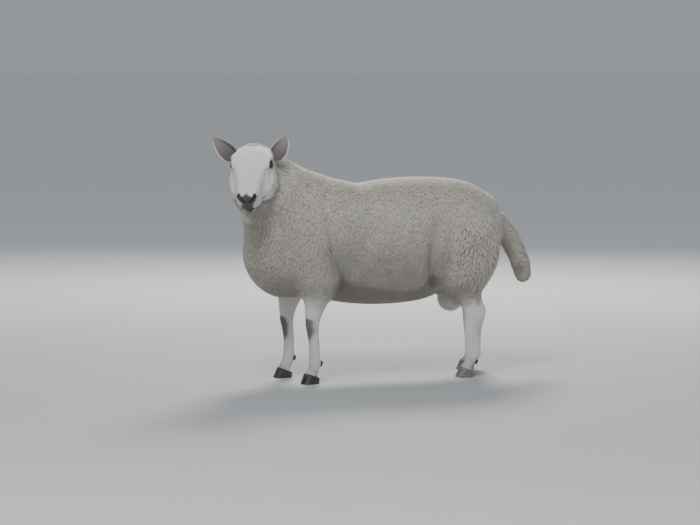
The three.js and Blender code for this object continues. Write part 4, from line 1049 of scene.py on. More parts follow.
def strewn(pos, tris, normals, spacing, keep):
    """Points on triangles, about one in each cell of the given spacing, with smooth normals."""
    a, b, c = pos[tris[:, 0]], pos[tris[:, 1]], pos[tris[:, 2]]
    area = np.linalg.norm(np.cross(b - a, c - a), axis=1) / 2
    want = 3.0 * area * keep / spacing**2
    count = np.floor(want + RNG.random(len(want))).astype(int)
    i = np.repeat(np.arange(len(tris)), count)
    r1, r2 = np.sqrt(RNG.random(len(i))), RNG.random(len(i))
    bary = np.stack([1 - r1, r1 * (1 - r2), r1 * r2], 1)
    p = (bary[:, :, None] * pos[tris[i]]).sum(1)
    n = unit((bary[:, :, None] * normals[tris[i]]).sum(1))
    cell = 1.22 * (spacing if np.isscalar(spacing) else spacing[i])
    order = RNG.permutation(len(p))
    k = np.floor((p[order] @ TURN3.T + 2000) / (cell if np.isscalar(cell) else cell[order][:, None])).astype(np.int64)
    key = (k[:, 0] * 4001 + k[:, 1]) * 4001 + k[:, 2]
    pick = order[np.unique(key, return_index=True)[1]]
    return p[pick], n[pick], i[pick], bary[pick]


def clusters(p, cell, seed):
    """The middle of the staple each root belongs to, one per box cell of the given sizes, jittered."""
    cell = np.asarray(cell, float)
    base = np.floor(p / cell).astype(np.int64)
    best, where = np.full(len(p), 1e9), p.copy()
    name = np.zeros(len(p), np.int64)
    for dx in (-1, 0, 1):
        for dy in (-1, 0, 1):
            for dz in (-1, 0, 1):
                k = base + [dx, dy, dz]
                key = ((k[:, 0] + 5000) * 73856093 ^ (k[:, 1] + 5000) * 19349663 ^ (k[:, 2] + 5000) * 83492791) & 0x7FFFFFFF
                c = (k + np.stack([hashed(key, seed), hashed(key, seed + 1), hashed(key, seed + 2)], 1)) * cell
                d = np.linalg.norm((p - c) / cell, axis=1)
                m = d < best
                best[m], where[m], name[m] = d[m], c[m], key[m]
    return where, name, best


# ---------------------------------------------------------------- locks: closed three-sided blades, each a root, a bend and a tip
class Coat:
    def __init__(self):
        self.parts = {}

    def add(self, piece, root, n, t, height, reach, width, pull, tone, uv, rings, crimp=0.0, waves=2.0, flat=0.5, soft=0.8, dark=0.72, blunt=0.0):
        """root, n, t: place, normal and lie of each lock. height and reach: how far its tip stands out and lies along. pull: how far the tip is drawn sideways to its staple's middle."""
        if not len(root):
            return
        m = len(root)
        rings = np.asarray(rings, float)
        k = len(rings)
        s = np.concatenate([rings[:, 0], [1.0]])
        b = np.cross(n, t)
        phase = RNG.random(m) * 2 * np.pi
        wob = RNG.normal(0, 1, (m, 2))

        def line(u):
            rise = 1 - (1 - u) ** 1.9
            run = u**1.5
            side = crimp * np.sin(phase + 2 * np.pi * waves * u) * np.sqrt(u) + width * 0.35 * wob[:, 0] * u
            up = height * rise + 0.35 * crimp * np.cos(phase + 2 * np.pi * waves * u) * u * (1 - u)
            return root - n * 1.0 + n * up[:, None] + t * (reach * run)[:, None] + pull * (u**1.2)[:, None] + b * side[:, None]

        pts, nor, shade_at = [], [], []
        for j in range(k):
            u = np.full(m, s[j])
            c, ahead = line(u), line(np.minimum(u + 0.08, 1.0)) - line(np.maximum(u - 0.08, 0.0))
            d = unit(ahead)
            across = unit(np.cross(n, d) + 1e-6)
            out = np.cross(d, across)
            out = np.where(((out * n).sum(1) < 0)[:, None], -out, out)
            w = (width * rings[j, 1])[:, None] / 2
            for angle in (90, 210, 330):
                ca, sa = math.cos(math.radians(angle)), math.sin(math.radians(angle))
                pts.append(c + across * w * ca + out * w * flat * sa)
                g = unit(across * ca + out * sa / max(flat, 0.2) * 0.8)
                nor.append(unit(g + soft * n))
                shade_at.append(np.full(m, s[j] - (0.12 if sa < 0 else 0)))
        tip = line(np.ones(m))
        pts.append(tip)
        nor.append(unit(unit(tip - line(np.full(m, 0.9))) + (soft + 0.9) * n))
        shade_at.append(np.ones(m))
        v = 3 * k + 1
        pts = np.stack(pts, 1).reshape(-1, 3)
        nor = np.stack(nor, 1).reshape(-1, 3)
        # painted shade: each lock is darker at its root and on its lower faces, and a little lighter at its tip
        shade = mix(dark, 1.04, ramp(np.stack(shade_at, 1), 0.15, 0.95))
        col = (tone[:, None, :] * shade[..., None]).reshape(-1, 3)
        quads, quv, tri, tuv = [], [], [], []
        for j in range(k - 1):
            for e in range(3):
                f = (e + 1) % 3
                quads.append([3 * j + e, 3 * j + f, 3 * j + 3 + f, 3 * j + 3 + e])
                quv.append([(e / 3, s[j]), ((e + 1) / 3, s[j]), ((e + 1) / 3, s[j + 1]), (e / 3, s[j + 1])])
        for e in range(3):
            f = (e + 1) % 3
            tri.append([3 * (k - 1) + e, 3 * (k - 1) + f, 3 * k])
            tuv.append([(e / 3, s[k - 1]), ((e + 1) / 3, s[k - 1]), ((e + 0.5) / 3, 1.0)])
        start = np.arange(m)[:, None, None] * v
        self.parts.setdefault(piece, []).append(dict(
            pts=pts, nor=nor, col=col, n=m, tris=m * (6 * (k - 1) + 3),
            quads=(np.array(quads)[None] + start).reshape(-1, 4), quv=(uv[:, None, None, :] + 0.003 * (np.array(quv)[None] - 0.5)).reshape(-1, 2),
            tri=(np.array(tri)[None] + start).reshape(-1, 3), tuv=(uv[:, None, None, :] + 0.003 * (np.array(tuv)[None] - 0.5)).reshape(-1, 2),
        ))

    def build(self, materials):
        made, total = [], 0
        for name, parts in self.parts.items():
            shift, pts, nor, col, quads, quv, tri, tuv = 0, [], [], [], [], [], [], []
            for q in parts:
                pts.append(q["pts"]); nor.append(q["nor"]); col.append(q["col"])
                quads.append(q["quads"] + shift); tri.append(q["tri"] + shift)
                quv.append(q["quv"]); tuv.append(q["tuv"])
                shift += len(q["pts"])
            pts, nor, col = np.concatenate(pts), np.concatenate(nor), np.concatenate(col)
            quads, tri, quv, tuv = np.concatenate(quads), np.concatenate(tri), np.concatenate(quv), np.concatenate(tuv)
            me = bpy.data.meshes.new(name)
            me.vertices.add(len(pts))
            me.vertices.foreach_set("co", row(pts).astype(np.float32).ravel())
            loops = np.concatenate([quads.ravel(), tri.ravel()])
            me.loops.add(len(loops))
            me.loops.foreach_set("vertex_index", loops.astype(np.int32))
            me.polygons.add(len(quads) + len(tri))
            me.polygons.foreach_set("loop_start", np.concatenate([np.arange(len(quads)) * 4, len(quads) * 4 + np.arange(len(tri)) * 3]).astype(np.int32))
            me.update(calc_edges=True)
            me.polygons.foreach_set("use_smooth", np.ones(len(quads) + len(tri), bool))
            layer = me.uv_layers.new(name="OFBake")
            layer.data.foreach_set("uv", np.concatenate([quv, tuv]).astype(np.float32).ravel())
            ob = bpy.data.objects.new(name, me)
            bpy.context.scene.collection.objects.link(ob)
            attribute(ob, "tone", np.concatenate([np.clip(col, 0, 1), np.ones((len(col), 1))], 1), "FLOAT_COLOR")
            me.normals_split_custom_set_from_vertices(nor.astype(np.float32))
            count = 2 * len(quads) + len(tri)
            total += count
            print(f"coat piece {name}: {sum(q['n'] for q in parts)} locks, {count} triangles")
            ob.data.materials.append(materials[name])
            made.append(ob)
        print(f"coat {total} triangles, {time.time() - START:.1f} s")
        return made


# ---------------------------------------------------------------- the coat laid out
def own_chart(kind, p):
    """A root's place on the unwrap of its own region of the skin: round the region's axis, and along it."""
    if kind == "trunk":
        return np.stack([p[:, 0], np.arctan2(np.abs(p[:, 1]), p[:, 2] - 600) * 170], 1)
    if kind == "neck":
        c = np.array([-420.0, -12, 690])
        axis = unit(np.array([-0.86, -0.05, 0.51]))
        side = unit(np.cross(axis, [0, 0, 1.0]))
        up = np.cross(side, axis)
        v = p - c
        return np.stack([np.arctan2(v @ side, v @ up) * 120, v @ axis], 1)
    if kind == "head":
        q = to_head(p)
        return np.stack([np.arctan2(q[:, 1], q[:, 2] + 62) * 60, q[:, 0] - 0.3 * np.hypot(q[:, 1], q[:, 2] + 62)], 1)
    if kind == "tail":
        x = np.interp(-p[:, 2], [-600, -588, -540, -486, -430, -384], [440, 496, 541, 569, 587, 596])
        return np.stack([np.arctan2(p[:, 1], p[:, 0] - x) * 40, p[:, 2]], 1)
    if kind == "sack":
        return np.stack([np.arctan2(p[:, 1], p[:, 0] - 280) * 40, p[:, 2]], 1)
    _, r, dx, dy = leg_near(p)
    return np.stack([np.arctan2(dy, dx) * 40, p[:, 2] - 0.4 * r * (p[:, 2] > 330)], 1)


def fitted(uv):
    lo, hi = uv.min(0), uv.max(0)
    return 0.01 + 0.98 * (uv - lo) / np.maximum(hi - lo, 1e-6)


def region(p):
    """(kind, piece) of each root on the body's skin."""
    side = np.where(p[:, 1] < 0, 1, 0)
    part = np.digitize(p[:, 0], [-290, -190, -70, 60, 220])
    code = 100 + 10 * side + part     # trunk
    code[p[:, 0] < -395] = 20 + side[p[:, 0] < -395]
    q = to_head(p)
    code[(p[:, 0] < -400) & (q[:, 0] > -16) & (p[:, 2] > 600)] = 30
    which, r, dx, dy = leg_near(p)
    leg = (p[:, 2] < 395) & (r < np.where(which < 2, 92, 108)) & (np.abs(p[:, 1]) > 38)
    leg |= (p[:, 2] < 270) & (p[:, 0] > -300) & (r < 80)
    code[leg] = 40 + which[leg]
    code[(p[:, 0] > 470) & (chain(p, TAIL, 12) < torso(p) + 2)] = 50
    code[(bar(p, (262, 0, 392), (287, 0, 298), 34, 53) < 2) & (p[:, 2] < 400)] = 60
    return code


KIND = {10: "trunk", 11: "trunk", 2: "neck", 3: "head", 4: "leg", 5: "tail", 6: "sack"}
PIECE = {**{100 + 10 * s + i: f"fleece_{side}_{part}" for s, side in enumerate(("right", "left")) for i, part in enumerate(("shoulder", "heart", "ribs", "loin", "flank", "rump"))},
         20: "fleece_neck_right", 21: "fleece_neck_left", 30: "fleece_poll", 40: "fleece_foreleg_left", 41: "fleece_foreleg_right", 42: "fleece_hindleg_left", 43: "fleece_hindleg_right",
         50: "fleece_tail", 60: "fleece_scrotum"}


def thighs(p):
    """1 on thigh and breech, where the locks are longer and coarser."""
    return ramp(p[:, 0], 205, 250) * (1 - ramp(p[:, 2], 600, 660)) * ramp(p[:, 2], 230, 260)


def lay_fleece(coat, pos, tris, normals):
    centre = pos[tris].mean(1)
    w = wool(centre)
    code = region(centre)
    coarse = thighs(centre)
    spacing = mix(3.1, 4.3, coarse)
    spacing[code == 50] = 3.4
    spacing[code == 60] = 3.6
    spacing[code == 30] = 3.1
    under = (centre[:, 2] < 372) & (np.abs(centre[:, 1]) < 90)
    spacing[under] *= 1.2
    p, n, _, _ = strewn(pos, tris, normals, spacing, (w > 0.12) * 1.0)
    w = wool(p)
    ok = w > 0.22
    p, n, w = p[ok], n[ok], w[ok]
    deep, t, code = coat_depth(p), lie(p, n, w), region(p)
    b = np.cross(n, t)
    tone = tones(p, n, w)
    kind = code // 10
    big = (thighs(p) > RNG.uniform(0.1, 0.9, len(p))) & ~np.isin(kind, (5, 6))
    cell = np.where(big, 1.0, 0.0)
    c1, id1, _ = clusters(p, (8.5, 8.5, 20), 61)
    c2, id2, _ = clusters(p, (11, 11, 29), 71)
    c = mix(c1, c2, cell[:, None])
    ident = np.where(big, id2, id1)
    v = c - p
    across, along = (v * b).sum(1), np.clip((v * t).sum(1), -15, 15)
    pull = b * (mix(0.45, 0.6, cell) * np.clip(across, -6, 6))[:, None]
    own, light = hashed(ident, 81), hashed(ident, 82)
    small = mix(0.70, 1.0, ramp(deep, 2.5, 7.5)) * mix(1.0, 0.86, (kind == 3) * 1.0)
    ridge = noise(np.stack([p @ np.array([0.97, 0, 0.1]), p[:, 1], p[:, 2] * 0.16], 1), 15, 91)
    swell = noise(p, 52, 92)
    calm = 1 - 0.45 * ramp(p[:, 0], -230, -150) * (1 - ramp(p[:, 0], 120, 200))
    height = deep * np.clip(0.93 + calm * (mix(0.035, 0.05, cell) * (own - 0.5) - mix(0.0033, 0.0052, cell) * along + 0.04 * ridge + RNG.normal(0, 0.022, len(p))) + 0.045 * swell, 0.62, 1.04)
    height = np.maximum(height, 2.4)
    reach = (mix(18.0, 22.5, big * 1.0) + 0.36 * along + RNG.normal(0, 2.2, len(p))) * small
    reach = reach * mix(0.66, 1.0, ramp(deep, 2.5, 7.5))
    width = mix(4.4, 5.3, big * 1.0) * small * RNG.uniform(0.7, 1.25, len(p))
    # where the body turns away, or rises, under a lock, its tip turns with it
    over = outer(p + t * reach[:, None] + n * height[:, None]) + deep - height
    height = np.maximum(height - np.clip(over, -5, 8), -2.0)
    tone = tone * (1 + 0.075 * (light - 0.5) + RNG.normal(0, 0.028, len(p)))[:, None]
    # painted shade: locks a little darker in the low furrows between the ridges
    tone = tone * (1 - 0.030 * ramp(-ridge, 0.1, 0.8))[:, None]
    for k in np.unique(code):
        m = (code == k) & ~big
        uv = fitted(own_chart(KIND[k // 10], p[code == k]))
        both = big[code == k]
        coat.add(PIECE[k], p[m], n[m], t[m], height[m], reach[m], width[m], pull[m], tone[m], uv[~both], [(0, 0.9), (0.5, 1.0)], crimp=0.6, waves=1.0, dark=0.93, soft=1.8)
        m = (code == k) & big
        coat.add(PIECE[k], p[m], n[m], t[m], height[m], reach[m], width[m], pull[m], tone[m], uv[both], [(0, 0.9), (0.3, 1.0), (0.56, 0.85), (0.8, 0.55)], crimp=0.9, waves=1.5, dark=0.90, soft=1.6)


def lay_hair(coat, pos, tris, normals):
    """Short hair: tufts lie close, and are left out on the bare skin of lids, lips and nose."""
    centre = pos[tris].mean(1)
    w = wool(centre)
    bare = np.zeros(len(centre))
    q = to_head(centre)
    head = inside_box(centre, (-760, -330, 560), (-330, 140, 1000)) & (q[:, 0] > -20)
    h = halves(q[head])
    dist, _, _, _, almond = eye_place(h)
    lips = (1 - ramp(np.abs(h[:, 2] - mouth_line(h[:, 0])), 2, 4)) * ramp(h[:, 0], 172, 182)
    bare[head] = np.maximum.reduce([muzzle_dark(q[head]), (1 - ramp(almond, 1.6, 3.2)) * (dist < 30), lips])
    low = centre[:, 2] < 80
    if low.any():
        for i, leg in enumerate(LEGS.values()):
            m = low & (leg_near(centre)[0] == i)
            bare[m] = np.maximum(bare[m], 1 - ramp(coronet(leg, centre[m]), -1, 1.5))
    spacing = np.where(head, 3.9, 4.1)
    spacing = np.where(head & (q[:, 0] > 170), 3.3, spacing)
    p, n, _, _ = strewn(pos, tris, normals, spacing, (w < 0.75) * (bare < 0.5) * 1.0)
    w = wool(p)
    t = lie(p, n, w)
    tone = tones(p, n, w)
    code = np.where(p[:, 0] < -400, np.where(p[:, 2] > 500, 3, 4), 4)
    which = leg_near(p)[0]
    q = to_head(p)
    h = halves(q)
    dist, out, e1, e2, almond = eye_place(h)
    isface = code == 3
    size = np.ones(len(p))
    size[isface] = (mix(0.42, 1.0, ramp(almond, 2, 15)) * mix(1, 0.62, ramp(q[:, 0], 150, 225)))[isface]
    fringe = np.zeros(len(p))
    for i, leg in enumerate(LEGS.values()):
        m = (which == i) & (p[:, 2] < 90)
        fringe[m] = 1 - ramp(coronet(leg, p[m]), 3, 11)
    size += 0.35 * fringe
    jaw = isface * ramp(-q[:, 2], 96, 130) * ramp(q[:, 0], 20, 60)
    size += 0.55 * jaw
    feather = (~isface) * ramp(leg_near(p)[2], 12, 24) * ramp(p[:, 2], 60, 120) * 0.35
    size += feather
    size *= RNG.uniform(0.8, 1.2, len(p))
    leg = 1.0 * ~isface
    rise = (1.0 + 1.1 * jaw + 0.5 * fringe + 0.2 * leg + 0.8 * ramp(w, 0.1, 0.6)) * RNG.uniform(0.75, 1.2, len(p))
    reach = (8.2 * size + 2.5 * leg + 1.0 * ramp(w, 0.1, 0.6)) * (1 - 0.35 * fringe)
    width = (1.8 * np.sqrt(size) + 1.0 * ramp(w, 0.1, 0.6)) * (1 - 0.35 * fringe)
    over = skin_field(p + t * reach[:, None] + n * rise[:, None]) - rise
    rise = rise - np.clip(over, -2.0, 4.0)
    tip_dist, _, _, _, tip_almond = eye_place(halves(to_head(p + t * reach[:, None] + n * rise[:, None])))
    clear = ~(isface & (tip_almond < 7.0) & (tip_dist < 34))
    tone = tone * (1.03 + RNG.normal(0, 0.035, len(p)))[:, None]
    zero = np.zeros((len(p), 3))
    for name, m in [("hair_face", isface)] + [("hair_" + leg, ~isface & (which == i)) for i, leg in enumerate(LEGS)]:
        m = m & clear
        if m.any():
            uv = fitted(own_chart("head" if name == "hair_face" else "leg", p[m]))
            coat.add(name, p[m], n[m], t[m], rise[m], reach[m], width[m], zero[m], tone[m], uv, [(0, 1.0), (0.5, 0.85)], crimp=0.0, flat=0.35, soft=2.4, dark=0.97)


def lay_ears(coat):
    for key, e in EARS.items():
        ep, et = make_ear(e, 40, 44)
        nn = point_normals(ep, et)
        v = np.linspace(0, 1, 41)
        tt = (0.5 - 0.5 * np.cos(np.pi * v))[:, None] * np.ones((1, 44))
        qq = np.linspace(0, 2 * np.pi, 44, endpoint=False)[None, :] * np.ones((41, 1))
        par = np.stack([tt.ravel(), np.cos(qq).ravel(), np.sin(qq).ravel()], 1)
        p, n, i, bary = strewn(ep, et, nn, 2.7, np.ones(len(et)))
        prm = (bary[:, :, None] * par[et[i]]).sum(1)
        t_, u_, w_ = prm.T
        inside = ramp(w_, 0.2, 0.7) * (1 - ramp(np.abs(u_), 0.7, 0.95))
        ok = (t_ > 0.03) & (t_ < 0.985) & (RNG.random(len(p)) > 0.45 * inside) & (((np.abs(u_) < mix(0.70, 0.2, ramp(t_, 0.55, 0.85))) & (t_ < 0.84)) | ((w_ < -0.35) & (np.abs(u_) < mix(0.95, 0.66, ramp(t_, 0.40, 0.75))) & (t_ < 0.93)))
        p, n, t_, u_, w_, inside = p[ok], n[ok], t_[ok], u_[ok], w_[ok], inside[ok]
        g = e["along"] + 0.22 * u_[:, None] * e["across"] + 0.12 * RNG.normal(0, 1, (len(p), 3))
        g = unit(g - n * (g * n).sum(1, keepdims=True))
        tone = ear_tones(t_, u_, w_)
        tone = mix(tone, HAIR, (0.14 * inside * RNG.random(len(p)))[:, None]) * (1.02 + RNG.normal(0, 0.035, len(p)))[:, None]
        rim = ramp(np.abs(u_), 0.6, 0.95)
        size = RNG.uniform(0.75, 1.2, len(p)) * mix(1.0, 1.5, inside * ramp(-t_, -0.5, -0.1))
        uv = fitted(np.stack([np.arctan2(w_, u_) * 20, t_ * 100], 1)) * np.array([0.48, 1.0]) + np.array([0.0 if key == "ear_left" else 0.5, 0])
        coat.add("hair_ears", p, n, g, (0.9 - 0.35 * rim) * size, 7.5 * size * (1 - 0.45 * ramp(t_, 0.85, 1)), 1.05 * size, np.zeros_like(p), tone, uv, [(0, 1.0), (0.5, 0.85)], flat=0.35, soft=2.4, dark=0.97)


def lay_lashes(coat):
    s = np.linspace(-0.86, 0.72, 54)
    for upper, count in ((1, 54), (-1, 22)):
        e1 = np.linspace(-0.80, 0.62, count) * 15 if upper > 0 else np.linspace(-0.5, 0.5, count) * 15
        e2 = upper * (np.sqrt(np.maximum((LID[1] + 1.2) ** 2 - e1**2, 0)) - LID[0])
        r = EYE_R + 2.6
        flat = np.stack([e1, e2], 1)
        out = np.sqrt(np.maximum(r**2 - (flat**2).sum(1), 4))
        h = EYE_AT + flat[:, :1] * EYE_LONG + flat[:, 1:] * EYE_UP + out[:, None] * EYE_OUT
        d = EYE_OUT * 1.0 + EYE_UP * (upper * 0.50) + EYE_LONG * (0.35 * e1 / 15)[:, None] + np.array([0.25, 0, -0.28]) * (upper > 0)
        for side in (1, -1):
            flip = np.array([1.0, side, 1])
            at, go = from_head(h * flip), unit((d * flip) @ BASIS)
            go = unit(go + RNG.normal(0, 0.08, go.shape))
            up = unit((np.tile(EYE_UP * upper, (count, 1)) * flip) @ BASIS)
            nn = unit(up - go * (up * go).sum(1, keepdims=True))
            long = (11.5 if upper > 0 else 5.0) * RNG.uniform(0.75, 1.1, count) * (1 - 0.35 * (e1 / 15) ** 2)
            uv = np.stack([np.linspace(0.02, 0.46, count) + (0.5 if side > 0 else 0), np.full(count, 0.3 if upper > 0 else 0.7)], 1)
            tone = np.tile(np.array([0.36, 0.33, 0.29]), (count, 1))
            coat.add("lashes", at, nn, go, 1.0 * np.ones(count), long, 0.48 * np.ones(count), np.zeros_like(at), tone, uv, [(0, 1.0), (0.5, 0.8)], flat=0.8, soft=0.3, dark=0.8)


# ---------------------------------------------------------------- materials
def material(name, rough, build):
    mat = bpy.data.materials.new(name)
    mat.use_nodes = True
    nt = mat.node_tree
    b = nt.nodes["Principled BSDF"]
    b.inputs["Roughness"].default_value = rough
    build(nt, b)
    return mat


def node(nt, kind, ins=None, **props):
    o = nt.nodes.new(kind)
    for k, v in props.items():
        setattr(o, k, v)
    for k, v in (ins or {}).items():
        if isinstance(v, bpy.types.NodeSocket):
            nt.links.new(v, o.inputs[k])
        else:
            o.inputs[k].default_value = v
    return o


def grain(nt, source, scale, detail=3.0):
    """Noise stretched by scale, in metres of the object's own space or of a vector attribute."""
    m = node(nt, "ShaderNodeMapping", {"Vector": source, "Scale": scale})
    return node(nt, "ShaderNodeTexNoise", {"Vector": m.outputs[0], "Scale": 1.0, "Detail": detail, "Roughness": 0.6}).outputs["Fac"]


def scaled(nt, colour, factor, low, high):
    """colour times a grey between low and high."""
    r = node(nt, "ShaderNodeMapRange", {"Value": factor, "From Min": 0.3, "From Max": 0.7, "To Min": low, "To Max": high})
    m = node(nt, "ShaderNodeMix", {"Factor": 1.0}, data_type="RGBA", blend_type="MULTIPLY")
    m.inputs["Factor"].default_value = 1.0
    nt.links.new(colour, m.inputs["A"])
    g = node(nt, "ShaderNodeCombineColor")
    for c in range(3):
        nt.links.new(r.outputs[0], g.inputs[c])
    nt.links.new(g.outputs[0], m.inputs["B"])
    return m.outputs["Result"]


def fleece_material(nt, b):
    tone = node(nt, "ShaderNodeAttribute", attribute_name="tone").outputs["Color"]
    at = node(nt, "ShaderNodeTexCoord").outputs["Object"]
    fibre = grain(nt, at, (850, 850, 150), 3)
    c = scaled(nt, tone, fibre, 0.88, 1.10)
    c = scaled(nt, c, grain(nt, at, (34, 34, 22), 2), 0.93, 1.06)
    nt.links.new(c, b.inputs["Base Color"])
    bump = node(nt, "ShaderNodeBump", {"Height": fibre, "Strength": 0.35, "Distance": 0.0006})
    nt.links.new(bump.outputs[0], b.inputs["Normal"])
    b.inputs["Sheen Weight"].default_value = 0.12
    b.inputs["Sheen Roughness"].default_value = 0.6
    b.inputs["Specular IOR Level"].default_value = 0.25


def hair_material(nt, b):
    tone = node(nt, "ShaderNodeAttribute", attribute_name="tone").outputs["Color"]
    at = node(nt, "ShaderNodeTexCoord").outputs["Object"]
    fibre = grain(nt, at, (1400, 1400, 400), 2)
    nt.links.new(scaled(nt, tone, fibre, 0.90, 1.06), b.inputs["Base Color"])
    b.inputs["Specular IOR Level"].default_value = 0.3


def skin_material(nt, b):
    tone = node(nt, "ShaderNodeAttribute", attribute_name="tone").outputs["Color"]
    lay = node(nt, "ShaderNodeAttribute", attribute_name="grain").outputs["Vector"]
    wet = node(nt, "ShaderNodeAttribute", attribute_name="bare").outputs["Fac"]
    hair = grain(nt, lay, (110, 900, 900), 3)
    blotch = grain(nt, lay, (45, 60, 60), 3)
    c = scaled(nt, tone, hair, 0.86, 1.08)
    c = scaled(nt, c, blotch, 0.95, 1.04)
    nt.links.new(c, b.inputs["Base Color"])
    leather = node(nt, "ShaderNodeTexVoronoi", {"Vector": lay, "Scale": 620.0}, feature="SMOOTH_F1").outputs["Distance"]
    height = node(nt, "ShaderNodeMix", {"Factor": wet}, data_type="FLOAT")
    nt.links.new(hair, height.inputs["A"])
    nt.links.new(leather, height.inputs["B"])
    bump = node(nt, "ShaderNodeBump", {"Height": height.outputs["Result"], "Strength": 0.55, "Distance": 0.0009})
    nt.links.new(bump.outputs[0], b.inputs["Normal"])
    r = node(nt, "ShaderNodeMapRange", {"Value": wet, "From Min": 0.0, "From Max": 1.0, "To Min": 0.82, "To Max": 0.42})
    nt.links.new(r.outputs[0], b.inputs["Roughness"])
    b.inputs["Specular IOR Level"].default_value = 0.35


def horn_material(nt, b, pale=0.0):
    rise = node(nt, "ShaderNodeAttribute", attribute_name="rise").outputs["Fac"]
    at = node(nt, "ShaderNodeTexCoord").outputs["Object"]
    streak = grain(nt, at, (420, 420, 60), 4)
    mud = grain(nt, at, (70, 70, 110), 5)
    wave = node(nt, "ShaderNodeMath", {0: rise, 1: 1.15}, operation="MULTIPLY")
    ring = node(nt, "ShaderNodeMath", {0: wave.outputs[0]}, operation="SINE")
    ring01 = node(nt, "ShaderNodeMapRange", {"Value": ring.outputs[0], "From Min": -1.0, "From Max": 1.0, "To Min": 0.0, "To Max": 1.0}).outputs[0]
    base = node(nt, "ShaderNodeValToRGB", {"Fac": streak})
    e = base.color_ramp.elements
    e[0].position, e[0].color = 0.30, tuple(mix(np.array([0.022, 0.020, 0.018]), np.array([0.10, 0.088, 0.070]), pale)) + (1,)
    e[1].position, e[1].color = 0.72, tuple(mix(np.array([0.058, 0.052, 0.045]), np.array([0.34, 0.31, 0.26]), pale)) + (1,)
    dirt = node(nt, "ShaderNodeValToRGB", {"Fac": mud})
    e = dirt.color_ramp.elements
    e[0].position, e[0].color = 0.50, (0, 0, 0, 1)
    e[1].position, e[1].color = 0.68, (1, 1, 1, 1)
    m = node(nt, "ShaderNodeMix", {"Factor": dirt.outputs[0]}, data_type="RGBA")
    nt.links.new(base.outputs[0], m.inputs["A"])
    m.inputs["B"].default_value = tuple(mix(np.array([0.072, 0.064, 0.055]), np.array([0.12, 0.105, 0.088]), pale)) + (1,)
    nt.links.new(scaled(nt, m.outputs["Result"], ring01, 0.86, 1.12), b.inputs["Base Color"])
    h = node(nt, "ShaderNodeMath", {0: ring01, 1: streak}, operation="ADD")
    bump = node(nt, "ShaderNodeBump", {"Height": h.outputs[0], "Strength": 0.4, "Distance": 0.0008})
    nt.links.new(bump.outputs[0], b.inputs["Normal"])
    b.inputs["Roughness"].default_value = 0.52


def eye_material(nt, b):
    r = node(nt, "ShaderNodeAttribute", attribute_name="iris").outputs["Fac"]
    pupil = node(nt, "ShaderNodeAttribute", attribute_name="pupil").outputs["Fac"]
    around = node(nt, "ShaderNodeAttribute", attribute_name="around").outputs["Fac"]
    at = node(nt, "ShaderNodeTexCoord").outputs["Object"]
    fleck = grain(nt, at, (500, 500, 500), 4)
    spoke = node(nt, "ShaderNodeMath", {0: around, 1: 0.35}, operation="MULTIPLY")
    s2 = node(nt, "ShaderNodeMath", {0: spoke.outputs[0], 1: fleck}, operation="ADD")
    iris = node(nt, "ShaderNodeValToRGB", {"Fac": s2.outputs[0]})
    e = iris.color_ramp.elements
    e[0].position, e[0].color = 0.25, (0.022, 0.012, 0.006, 1)
    e[1].position, e[1].color = 0.80, (0.095, 0.052, 0.020, 1)
    edge = node(nt, "ShaderNodeMapRange", {"Value": r, "From Min": 9.6, "From Max": 11.2, "To Min": 0.0, "To Max": 1.0})
    m = node(nt, "ShaderNodeMix", {"Factor": edge.outputs[0]}, data_type="RGBA")
    nt.links.new(iris.outputs[0], m.inputs["A"])
    white = node(nt, "ShaderNodeValToRGB", {"Fac": fleck})
    e = white.color_ramp.elements
    e[0].position, e[0].color = 0.3, (0.035, 0.022, 0.016, 1)
    e[1].position, e[1].color = 0.7, (0.085, 0.060, 0.048, 1)
    nt.links.new(white.outputs[0], m.inputs["B"])
    slit = node(nt, "ShaderNodeMapRange", {"Value": pupil, "From Min": 0.92, "From Max": 1.12, "To Min": 1.0, "To Max": 0.0})
    k = node(nt, "ShaderNodeMix", {"Factor": slit.outputs[0]}, data_type="RGBA")
    nt.links.new(m.outputs["Result"], k.inputs["A"])
    k.inputs["B"].default_value = (0.004, 0.004, 0.005, 1)
    nt.links.new(k.outputs["Result"], b.inputs["Base Color"])
    b.inputs["Roughness"].default_value = 0.08
    b.inputs["Specular IOR Level"].default_value = 0.5
    b.inputs["Coat Weight"].default_value = 0.6
    b.inputs["Coat Roughness"].default_value = 0.03


# ---------------------------------------------------------------- assembly
def put(obj, slot, *nodes):
    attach(obj, "root")
    if nodes:
        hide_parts(*nodes)
    return obj


fleece = material("fleece", 0.92, fleece_material)
hair = material("hair", 0.80, hair_material)
hide = material("hide", 0.80, skin_material)
horn = material("horn", 0.52, horn_material)
pale_horn = material("pale_horn", 0.52, lambda nt, b: horn_material(nt, b, 1.0))
wet = material("eye", 0.08, eye_material)

body, faces = make_skin()
normals = point_normals(body, faces)
cover = wool(body)
tone = tones(body, normals, cover)
tone = mix(tone, tone * np.array([1.02, 1.0, 0.96]), cover[:, None])          # what shows between the locks
q = to_head(body)
lay_of = np.where(((body[:, 0] < -430) & (body[:, 2] > 600))[:, None], q, body[:, [2, 0, 1]]) / 1000
bare = np.zeros(len(body))
m = inside_box(body, (-760, -330, 560), (-330, 140, 1000))
bare[m] = np.maximum(muzzle_dark(q[m]), eye_dark(q[m]) * (eye_place(halves(q[m]))[4] < 4))

